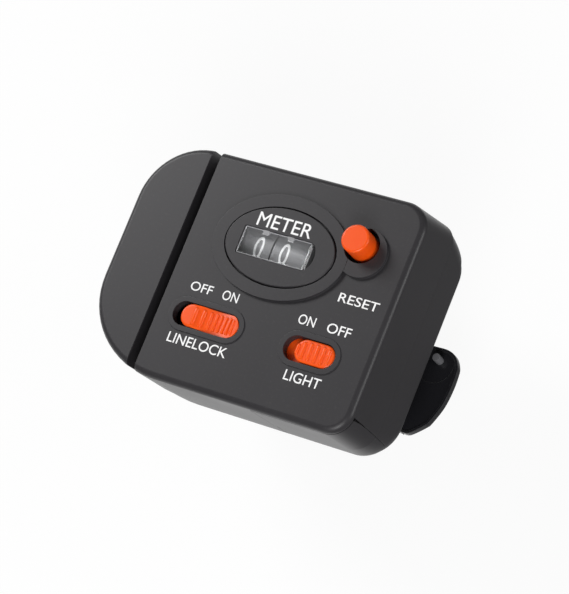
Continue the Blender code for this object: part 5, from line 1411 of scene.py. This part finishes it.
@dataclass
class Window(Assembly):
    """Oval window plate, the clear lens in it and its clips."""

    middle: Spot = (0.0158, 0.01035)
    half: Spot = (0.01445, 0.0095)
    plate_sides: int = 128
    low_z: float = 0.0298
    high_z: float = PLATE_Z
    rim: float = 0.00022
    rim_steps: int = 3
    opening_low: Point = (0.0052, 0.00635, 0.0295)
    opening_high: Point = (0.0235, 0.01345, 0.032)
    opening_corner: float = 0.0004
    bulge_radius: float = 0.0048
    bulge_reach: float = 0.0018
    bulge_step: float = 0.0004
    edge_round: float = 0.00006
    # Deep black crescent on the bay's floor, below the plate: painted shade in the gap at the lens's right
    # end.
    stop_low_z: float = 0.02945
    stop_high_z: float = 0.0297
    stop_margin: float = 0.0001
    lens_low: Point = (0.0054, 0.00655, 0.03005)
    lens_high: Point = (0.0234, 0.01325, 0.03095)
    # Width and rise of the pale band round the lens top: a painted highlight on its cut edge.
    lens_edge: float = 0.00009
    lens_edge_rise: float = 0.00004
    lens_corner: float = 0.0003
    lens_rim: float = 0.0003
    clip_places: Spot = (0.0110, 0.0177)
    clip_radius: float = 0.0009
    clip_lift: float = 0.00005
    clip_rise: float = 0.00010
    clip_overhang: float = 0.00015
    clip_round: float = 0.00006
    clip_sides: int = 32

    def build(self) -> None:
        """Build the plate, the lens and the clips."""
        self.plate()
        self.lens()

    def plate(self) -> None:
        """Build the oval plate with its opening."""
        plate = add_oval("window_plate", self.middle, self.half, self.low_z, self.high_z, self.plate_sides)
        with editing(plate):
            pick_edges(plate, lambda place: place.z > self.high_z - MERGE_DISTANCE)
            bevel_picked(self.rim, self.rim_steps)
        opening = rounded_block("opening", self.opening_low, self.opening_high, self.opening_corner, 0)
        combine(plate, opening, Blend.CARVE)
        combine(plate, self.bulge(0, self.opening_low[2], self.opening_high[2]), Blend.CARVE)
        soften(plate, self.edge_round)
        self.add(plate, SATIN_BLACK, "housing", "bezel_plate")
        # The deep black crescent in the bay is painted shade.
        painted_shade_crescent = soften(self.bulge(self.stop_margin, self.stop_low_z, self.stop_high_z), 0)
        self.add(painted_shade_crescent, DEEP_BLACK, "housing")

    def bulge(self, margin: float, low: float, high: float) -> Item:
        """Make the round bay at the right end of the opening as a solid.

        Args:
            margin: How far it is grown, or zero for a cutter that starts well inside the opening.
            low: Its lower end.
            high: Its upper end.

        Returns:
            The solid.
        """
        left = self.opening_high[0] - (margin or self.bulge_reach)
        middle = (
            self.opening_high[0] + self.bulge_reach - self.bulge_radius,
            (self.opening_low[1] + self.opening_high[1]) / 2,
            low,
        )
        radius = self.bulge_radius + 2 * margin
        bay = add_rod("round_bay", Axis.Z, radius, middle, high - low, FINE_SIDES)
        keep = add_block(
            "keep",
            (left, self.opening_low[1] + self.bulge_step - margin, low - OVERRUN),
            (left + self.bulge_radius, self.opening_high[1] - self.bulge_step + margin, high + OVERRUN),
        )
        combine(bay, keep, Blend.KEEP)
        return bay

    def lens(self) -> None:
        """Build the clear lens with its two round clips."""
        lens = rounded_block("lens_clear", self.lens_low, self.lens_high, self.lens_corner, self.lens_rim)
        self.add(soften(lens, 0), CLEAR, "housing", "window_lens")
        # The pale band round the lens is a painted highlight.
        self.lens_outline()
        low, high = self.lens_low[2], self.lens_high[2]
        edge, reach = self.lens_high[1], 2 * self.clip_radius
        for number, across in enumerate(self.clip_places, 1):
            name = f"lens_clip_{number}"
            start = (across, edge, low + self.clip_lift)
            height = high - low + self.clip_rise
            clip = add_rod(name, Axis.Z, self.clip_radius, start, height, self.clip_sides)
            far = (across + reach, edge + self.clip_overhang, self.high_z)
            combine(clip, add_block("keep", (across - reach, edge - reach, low), far), Blend.KEEP)
            self.add(soften(clip, self.clip_round), FROSTED, "housing")

    def lens_outline(self) -> None:
        """Build a pale band round the lens's top edge, a painted highlight on its cut edge."""
        edge = self.lens_edge
        low_x, low_y, _ = self.lens_low
        high_x, high_y, lens_top = self.lens_high
        top, base = lens_top + self.lens_edge_rise, lens_top - self.lens_rim
        outline = rounded_block("lens_edge", (low_x, low_y, base), (high_x, high_y, top), self.lens_corner, 0)
        inside = add_block(
            "inside",
            (low_x + edge, low_y + edge, base - OVERRUN),
            (high_x - edge, high_y - edge, top + OVERRUN),
        )
        combine(outline, inside, Blend.CARVE)
        self.add(soften(outline, 0), PAINTED_LENS_HIGHLIGHT, "housing")


@dataclass
class Drums(Assembly):
    """Two number drums with ten printed figures each."""

    axis_y: float = 0.01015
    axis_z: float = 0.0176
    radius: float = 0.0100
    lead_angle: float = math.radians(2.6)
    barrel_round: float = 0.0001
    figures: int = 10
    figure_step: float = math.radians(36)
    drum_places: tuple[tuple[str, float], ...] = (("tens", 0.0090), ("units", 0.01595))
    figure_width: float = 0.00235
    figure_height: float = 0.0056
    one_share: float = 0.62
    middle_share: float = 0.5
    print_sink: float = 0.00006
    print_depth: float = 0.00012
    strips: int = 10

    def build(self) -> None:
        """Build both drums and their figures."""
        for name, across in self.drum_places:
            drum = soften(self.copy_node(f"{name}_drum", f"{name}_barrel"), self.barrel_round)
            self.add(drum, DRUM_GREY, name, f"{name}_drum")
            for figure in range(self.figures):
                self.figure(f"{name}_figure_{figure}", str(figure), across, name)

    def figure(self, name: str, sign: str, across: float, body: str) -> None:
        """Print one figure round a drum.

        Args:
            name: Name of the figure's mesh.
            sign: The figure.
            across: Middle of the figure along X.
            body: Body that it rides on.
        """
        text = flat_text(name, sign, self.print_depth)
        with editing(text):
            for strip in range(1, self.strips):
                bpy.ops.mesh.select_all(action="SELECT")
                bpy.ops.mesh.bisect(plane_co=(0, strip / self.strips, 0), plane_no=(0, 1, 0))
        width = self.figure_width * (self.one_share if sign == "1" else 1.0)
        middle = self.figure_step * int(sign) - self.lead_angle
        for corner in text.data.vertices:
            angle = middle + (corner.co.y - self.middle_share) * self.figure_height / self.radius
            reach = self.radius - self.print_sink + corner.co.z
            corner.co = (
                across + (corner.co.x - self.middle_share) * width,
                self.axis_y + reach * math.sin(angle),
                self.axis_z + reach * math.cos(angle),
            )
        self.add(text, WHITE_PRINT, body)


@dataclass
class SlideKnob(Assembly):
    """Orange knob with rounded ends and a row of ribs across its top."""

    node: str
    name: str
    body: str
    left: float
    right: float
    low_y: float
    high_y: float
    base_z: float
    top_z: float
    rib_radii: tuple[float, ...]
    rib_places: tuple[float, ...]
    peg_radius: float = 0.0012
    peg_low_z: float = 0.0269
    rim: float = 0.0006
    end_share: float = 0.98
    end_steps: int = 14
    rib_rise: float = 0.0004
    rib_margin: float = 0.0007
    rib_sides: int = 32
    rib_end_share: float = 0.7
    rib_end_steps: int = 5
    dip: float = 0.0
    dip_start: float = 0.0
    dip_sides: int = 360
    skirt_left: float = 0.0
    skirt_low_z: float = 0.0263
    skirt_top_z: float = 0.0275
    skirt_corner: float = 0.0004
    skirt_rim: float = 0.0001

    def build(self) -> None:
        """Build the knob."""
        start, end = (self.left, self.low_y, self.base_z), (self.right, self.high_y, self.top_z)
        corner = (self.high_y - self.low_y) / 2 * self.end_share
        knob = rounded_block(self.name, start, end, corner, self.rim, self.end_steps)
        if self.dip:
            self.sink(knob)
        for number, (place, radius) in enumerate(zip(self.rib_places, self.rib_radii)):
            combine(knob, self.rib(number, place, radius), Blend.FUSE)
        middle = ((self.left + self.right) / 2, (self.low_y + self.high_y) / 2, self.peg_low_z)
        length = self.base_z - self.peg_low_z + OVERRUN
        combine(knob, add_rod("peg", Axis.Z, self.peg_radius, middle, length, SMALL_SIDES), Blend.FUSE)
        self.add(soften(knob, 0), ORANGE, self.body, self.node)
        if self.skirt_left:
            self.skirt()

    def skirt(self) -> None:
        """Build the plate that follows the knob under the face and closes its slot."""
        plate = rounded_block(
            self.name + "_skirt",
            (self.skirt_left, self.low_y - OVERRUN, self.skirt_low_z),
            (self.left - OVERRUN, self.high_y + OVERRUN, self.skirt_top_z),
            self.skirt_corner,
            self.skirt_rim,
        )
        self.add(soften(plate, 0), ORANGE, self.body)

    def sink(self, knob: Item) -> None:
        """Sink a wide hollow in the knob's top, right of its crown.

        Args:
            knob: Knob to carve.
        """
        span = self.right - self.dip_start
        radius = (span * span / 4 + self.dip * self.dip) / (2 * self.dip)
        start = ((self.right + self.dip_start) / 2, self.low_y - OVERRUN, self.top_z + radius - self.dip)
        length = self.high_y - self.low_y + 2 * OVERRUN
        roller = add_rod("roller", Axis.Y, radius, start, length, self.dip_sides)
        combine(knob, roller, Blend.CARVE)

    def top_at(self, place: float) -> float:
        """Height of the knob's top at one place.

        Args:
            place: Place along X.

        Returns:
            Height of the top there.
        """
        if not self.dip or place < self.dip_start:
            return self.top_z
        span = self.right - self.dip_start
        share = 2 * (place - self.dip_start) / span - 1
        return self.top_z - self.dip * (1 - share * share)

    def rib(self, number: int, place: float, radius: float) -> Item:
        """Make one rounded rib.

        Args:
            number: Its number.
            place: Its place along X.
            radius: Its radius.

        Returns:
            The rib.
        """
        half = (self.high_y - self.low_y) / 2
        inward = half - min(half, place - self.left, self.right - place)
        reach = math.sqrt(half * half - inward * inward) - self.rib_margin
        middle = (self.high_y + self.low_y) / 2
        low = middle - reach
        start = (place, low, self.top_at(place) + self.rib_rise - radius)
        rib = add_rod(f"rib_{number}", Axis.Y, radius, start, 2 * reach, self.rib_sides)
        with editing(rib):
            for end in (low, middle + reach):
                bpy.ops.mesh.select_all(action="DESELECT")
                pick_edges(rib, lambda spot, end=end: abs(spot.y - end) < MERGE_DISTANCE)
                bevel_picked(radius * self.rib_end_share, self.rib_end_steps)
        return rib


@dataclass
class LockKnob(SlideKnob):
    """Knob of the line lock, with a wide hollow right of its crown."""

    node: str = "linelock_knob"
    name: str = "lock_knob"
    body: str = "line_lock"
    left: float = -0.00225
    right: float = 0.01325
    low_y: float = -0.01385
    high_y: float = -0.00815
    base_z: float = 0.0278
    top_z: float = 0.0306
    rib_places: tuple[float, ...] = (0.0014, 0.0034, 0.0053, 0.0068, 0.0081, 0.0094, 0.0106, 0.0117)
    rib_radii: tuple[float, ...] = (0.00055, 0.00055, 0.0005, 0.00045, 0.00042, 0.0004, 0.00038, 0.00036)
    dip: float = 0.0010
    dip_start: float = 0.0010


@dataclass
class LightKnob(SlideKnob):
    """Knob of the light, with the plate that closes its slot."""

    node: str = "light_knob"
    name: str = "light_knob_cap"
    body: str = "light_switch"
    left: float = 0.02885
    right: float = 0.03925
    low_y: float = -0.01425
    high_y: float = -0.00845
    base_z: float = 0.0278
    top_z: float = 0.0302
    rib_places: tuple[float, ...] = (0.02965, 0.0311, 0.0328, 0.0345, 0.0362, 0.0377)
    rib_radii: tuple[float, ...] = (0.0005, 0.00055, 0.00055, 0.00055, 0.00055, 0.0005)
    skirt_left: float = 0.0234


@dataclass
class ResetButton(Assembly):
    """Tall round reset button on its dark collar and stem."""

    radius: float = 0.00345
    top_z: float = 0.0356
    collar_z: float = 0.0275
    rim: float = 0.00055
    rim_steps: int = 6
    edge_round: float = 0.00012

    def build(self) -> None:
        """Build the button's barrel and the part under it."""
        start, height = (*BUTTON_MIDDLE, self.collar_z), self.top_z - self.collar_z
        barrel = add_rod("button_barrel", Axis.Z, self.radius, start, height, FINE_SIDES)
        with editing(barrel):
            pick_edges(barrel, lambda place: place.z > self.top_z - MERGE_DISTANCE)
            bevel_picked(self.rim, self.rim_steps)
        self.add(soften(barrel, 0), ORANGE, "button", "reset_button")
        stem = self.copy_node("reset_button", "button_stem")
        keep_below(stem, "reset_button", self.collar_z)
        self.add(soften(stem, self.edge_round), DEEP_BLACK, "button")


@dataclass
class Label:
    """Words on the face, by their left end, right end, baseline and height."""

    words: str
    left: float
    right: float
    base: float
    height: float
    on_plate: bool = False


@dataclass
class Lettering(Assembly):
    """White printed words on the face and the window plate."""

    print_sink: float = 0.00002
    print_depth: float = 0.00006
    labels: tuple[Label, ...] = (
        Label("METER", 0.00775, 0.0224, 0.01408, 0.0034, True),
        Label("RESET", 0.03445, 0.0449, 0.0020, 0.00225),
        Label("LINELOCK", -0.0034, 0.0128, -0.0185, 0.0025),
        Label("OFF", -0.00285, 0.00315, -0.00508, 0.00225),
        Label("ON", 0.0060, 0.0103, -0.0052, 0.0024),
        Label("LIGHT", 0.0288, 0.0383, -0.01907, 0.0025),
        Label("ON", 0.0269, 0.0313, -0.00555, 0.0024),
        Label("OFF", 0.03455, 0.0408, -0.00567, 0.0024),
    )

    def build(self) -> None:
        """Print every word."""
        for number, label in enumerate(self.labels, 1):
            text = flat_text(f"print_{number}_{label.words.lower()}", label.words, self.print_depth)
            text.scale = (label.right - label.left, label.height, 1)
            height = (PLATE_Z if label.on_plate else FACE_Z) - self.print_sink
            text.location = (label.left, label.base, height)
            settle(text, text.name)
            self.add(text, WHITE_PRINT, "housing")


@dataclass
class ClampLever(Assembly):
    """Clamp lever with its thumb tab, the jaw's pad and the stop post."""

    edge_round: float = 0.0003
    low_y: float = -0.0155
    width: float = 0.02256
    tip_start: float = 0.0436
    tip_length: float = 0.0080
    tip_shares: tuple[Spot, ...] = (
        (-0.3, 0.0),
        (0.0, 0.0),
        (0.24, 0.015),
        (0.62, 0.137),
        (0.74, 0.20),
        (0.93, 0.40),
        (0.996, 0.60),
        (0.99, 0.77),
        (0.94, 0.86),
        (0.75, 0.955),
        (0.45, 1.0),
        (0.0, 1.0),
        (-0.3, 1.0),
    )
    tip_steps: int = 8
    top_z: float = -0.0095
    thickness: float = 0.0020
    lip: float = 0.0007
    lip_height: float = 0.0003
    hollow_start: float = 0.0345
    dish_middle: Spot = (0.0452, 0.0030)
    dish_radius: float = 0.0048
    dish_depth: float = 0.00015
    post_top: float = -0.0070

    def build(self) -> None:
        """Build the lever, the pad and the post."""
        self.lever()
        pad = soften(self.copy_node("jaw_pad", "jaw_rubber"), self.edge_round, 3)
        self.add(pad, RUBBER, "clamp", "jaw_pad")
        post = self.copy_node("stop_post", "post_pin")
        keep_below(post, "stop_post", self.post_top)
        self.add(soften(post, self.edge_round / 2), ZINC, "clamp", "stop_post")

    def lever(self) -> None:
        """Build the lever with a smooth tip, a lip round the tab and a dish by the post."""
        lever = self.copy_node("clamp_lever", "lever_arm")
        low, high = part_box("clamp_lever")
        bottom = self.top_z - self.thickness
        span = (low.y - OVERRUN, high.y + OVERRUN)
        old_tip = add_block(
            "old_tip",
            (self.tip_start, span[0], bottom - OVERRUN),
            (high.x + OVERRUN, span[1], self.top_z + OVERRUN),
        )
        hole = self.copy_node("stop_post", "post_hole")
        combine(lever, old_tip, Blend.CARVE)
        tip = self.plan(0, bottom, self.top_z, self.tip_start - OVERRUN)
        combine(tip, hole, Blend.CARVE)
        combine(lever, tip, Blend.FUSE)
        merge_flats(lever)
        floor = self.top_z - self.lip_height
        combine(lever, self.plan(self.lip, floor, self.top_z + OVERRUN, self.hollow_start), Blend.CARVE)
        start = (*self.dish_middle, floor - self.dish_depth)
        height = self.dish_depth + self.lip_height / 2
        dish = add_rod("dish", Axis.Z, self.dish_radius, start, height, FINE_SIDES)
        room = self.plan(self.lip, start[2] - OVERRUN, self.top_z + OVERRUN, self.hollow_start)
        combine(dish, room, Blend.KEEP)
        combine(dish, self.copy_node("stop_post", "post_hole"), Blend.CARVE)
        combine(lever, dish, Blend.CARVE)
        merge_flats(lever)
        soften(lever, self.edge_round / 2)
        self.add(lever, GLOSS_BLACK, "clamp", "clamp_lever")

    def plan(self, inset: float, low: float, high: float, left: float) -> Item:
        """Make an upright solid with the tab's outline, drawn in by an inset.

        Args:
            inset: How far it is drawn in.
            low: Its lower end.
            high: Its upper end.
            left: Where it starts along X.

        Returns:
            The solid.
        """
        points = self.tip_line()
        ring = [(left, self.low_y + inset)]
        for before, here, after in zip(points, points[1:], points[2:]):
            along = (Vector(after) - Vector(before)).normalized()
            spot = (here[0] - along.y * inset, here[1] + along.x * inset)
            if spot[0] > left:
                ring.append(spot)
        ring.append((left, self.low_y + self.width - inset))
        return loft("tab_plan", [[(*spot, height) for spot in ring] for height in (low, high)])

    def tip_line(self) -> list[Spot]:
        """Run a smooth line through the tip's points.

        Returns:
            Its points, from the lower edge round to the upper edge.
        """
        marks = [
            (self.tip_start + across * self.tip_length, self.low_y + up * self.width)
            for across, up in self.tip_shares
        ]
        line = []
        for first, second, third, fourth in zip(marks, marks[1:], marks[2:], marks[3:]):
            for step in range(self.tip_steps):
                share = step / self.tip_steps
                line.append(
                    tuple(
                        second[way]
                        + share * (third[way] - first[way]) / 2
                        + share**2 * (first[way] - 5 * second[way] / 2 + 2 * third[way] - fourth[way] / 2)
                        + share**3 * (fourth[way] - first[way] + 3 * second[way] - 3 * third[way]) / 2
                        for way in range(2)
                    )
                )
        return line


@dataclass
class Screws(Assembly):
    """Six cross-recess screws in the back cover."""

    head_z: float = 0.0011
    tip_z: float = 0.0195
    head_radius: float = 0.0019
    head_height: float = 0.0010
    shank_radius: float = 0.0008
    recess_length: float = 0.0011
    recess_width: float = 0.00045
    recess_depth: float = 0.0006
    rim_share: float = 0.45
    rim_steps: int = 4

    def build(self) -> None:
        """Build one screw and copy it to the other places."""
        x, y = SCREW_PLACES[0]
        first = self.model(x, y)
        for number, (across, along) in enumerate(SCREW_PLACES, 1):
            name = f"cross_screw_{number}"
            screw = first if number == 1 else twin(first, name, (across - x, along - y, 0))
            self.add(screw, STEEL, "housing", f"housing_screw_{number}")

    def model(self, x: float, y: float) -> Item:
        """Model one screw.

        Args:
            x: Its place along X.
            y: Its place along Y.

        Returns:
            The screw.
        """
        head = add_rod("cross_screw_1", Axis.Z, self.head_radius, (x, y, self.head_z), self.head_height)
        with editing(head):
            pick_edges(head, lambda place: place.z < self.head_z + MERGE_DISTANCE)
            bevel_picked(self.head_height * self.rim_share, self.rim_steps)
        cross = (self.recess_length, self.recess_width)
        for length, width in (cross, cross[::-1]):
            start = (x - length, y - width, self.head_z - OVERRUN)
            slot = add_block("recess", start, (x + length, y + width, self.head_z + self.recess_depth))
            combine(head, slot, Blend.CARVE)
        start = (x, y, self.head_z + self.head_height / 2)
        shank = add_rod("shank", Axis.Z, self.shank_radius, start, self.tip_z - start[2], SMALL_SIDES)
        combine(head, shank, Blend.FUSE)
        return soften(head, 0)


@dataclass
class SaddlePad(Assembly):
    """Rubber saddle that rests on the rod, with grooves across it."""

    grooves: int = 11
    groove_radius: float = 0.0004
    groove_sides: int = 20
    edge_round: float = 0.0001

    def build(self) -> None:
        """Build the pad and cut its grooves."""
        low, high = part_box("saddle_pad")
        pad = add_block("saddle_rubber", tuple(low), tuple(high))
        pitch = (high.y - low.y) / (self.grooves + 1)
        length = high.x - low.x + 2 * OVERRUN
        for number in range(self.grooves):
            start = (low.x - OVERRUN, low.y + pitch * (number + 1), low.z - self.groove_radius / 3)
            groove = add_rod("groove", Axis.X, self.groove_radius, start, length, self.groove_sides)
            combine(pad, groove, Blend.CARVE)
        self.add(soften(pad, self.edge_round), RUBBER, "housing", "saddle_pad")


@dataclass
class LineWheel(Assembly):
    """Measuring wheel with its rubber tyre, axle and pinion."""

    edge_round: float = 0.00008

    def build(self) -> None:
        """Build the wheel."""
        for node, name, finish in (
            ("measuring_wheel", "wheel_hub", WHITE_ACETAL),
            ("wheel_tyre", "wheel_rubber", RUBBER),
            ("wheel_axle", "wheel_spindle", STEEL),
            ("wheel_pinion", "wheel_gear", WHITE_ACETAL),
        ):
            piece = soften(self.copy_node(node, name), self.edge_round)
            self.add(piece, finish, "line_wheel", node)


@dataclass
class Springs(Assembly):
    """The clamp's torsion spring and the button's coil spring, with round wire."""

    coil_foot_z: float = 0.0193
    travel: float = 0.0024

    def build(self) -> None:
        """Build both springs, the button's coil with a mesh of its own."""
        self.round_wire("clamp_spring", "clamp_coil")
        coil = self.round_wire("reset_spring", "button_coil")
        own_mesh(coil)

    def round_wire(self, node: str, name: str) -> Item:
        """Copy a spring with rounder wire.

        Args:
            node: Node of the frame that it stands for.
            name: Name of the copy.

        Returns:
            The spring.
        """
        spring = self.copy_node(node, name)
        apply_modifier(spring, "SUBSURF", levels=1, render_levels=1)
        activate(spring)
        bpy.ops.object.shade_smooth()
        return self.add(spring, STEEL, "housing", node)


@dataclass
class Works(Assembly):
    """Everything inside the casing that keeps its frame shape."""

    finishes: tuple[tuple[Finish, tuple[str, ...]], ...] = (
        (STEEL, ("guide_pin_lower", "guide_pin_upper", "hinge_pin", "rocker_pin", "gate_arm")),
        (STEEL, ("first_axle", "second_axle", "transfer_axle", "drum_shaft")),
        (STEEL, ("battery_cell_lower", "battery_cell_upper")),
        (BRASS, ("contact_lower", "contact_upper", "gear_plate", "end_plate")),
        (WHITE_ACETAL, ("first_gear", "second_gear", "final_gear", "carry_gear", "transfer_gear")),
        (WHITE_ACETAL, ("reset_cam", "reset_rocker")),
        (BOARD_GREEN, ("circuit_board",)),
        (LAMP_RESIN, ("led",)),
        (DEEP_BLACK, ("switch_body", "linelock_slider")),
        (ORANGE, ("light_slider",)),
    )

    def build(self) -> None:
        """Dress each node that keeps its shape."""
        for finish, names in self.finishes:
            for name in names:
                dress(self.frame["nodes"][name], finish)
                LOG.info("node %s dressed in %s", name, finish.name)


def main() -> None:
    """Load the frame and build every sub-assembly on it."""
    logging.basicConfig(level=logging.INFO, format="%(name)s: %(message)s")
    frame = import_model()
    assemblies: list[Any] = [
        Studio(frame),
        Casing(frame),
        Window(frame),
        Drums(frame),
        LockKnob(frame),
        LightKnob(frame),
        ResetButton(frame),
        Lettering(frame),
        ClampLever(frame),
        Screws(frame),
        SaddlePad(frame),
        LineWheel(frame),
        Springs(frame),
        Works(frame),
    ]
    for assembly in assemblies:
        assembly.build()
        LOG.info("built %s", type(assembly).__name__)
    deselect()


if __name__ == "__main__":
    main()
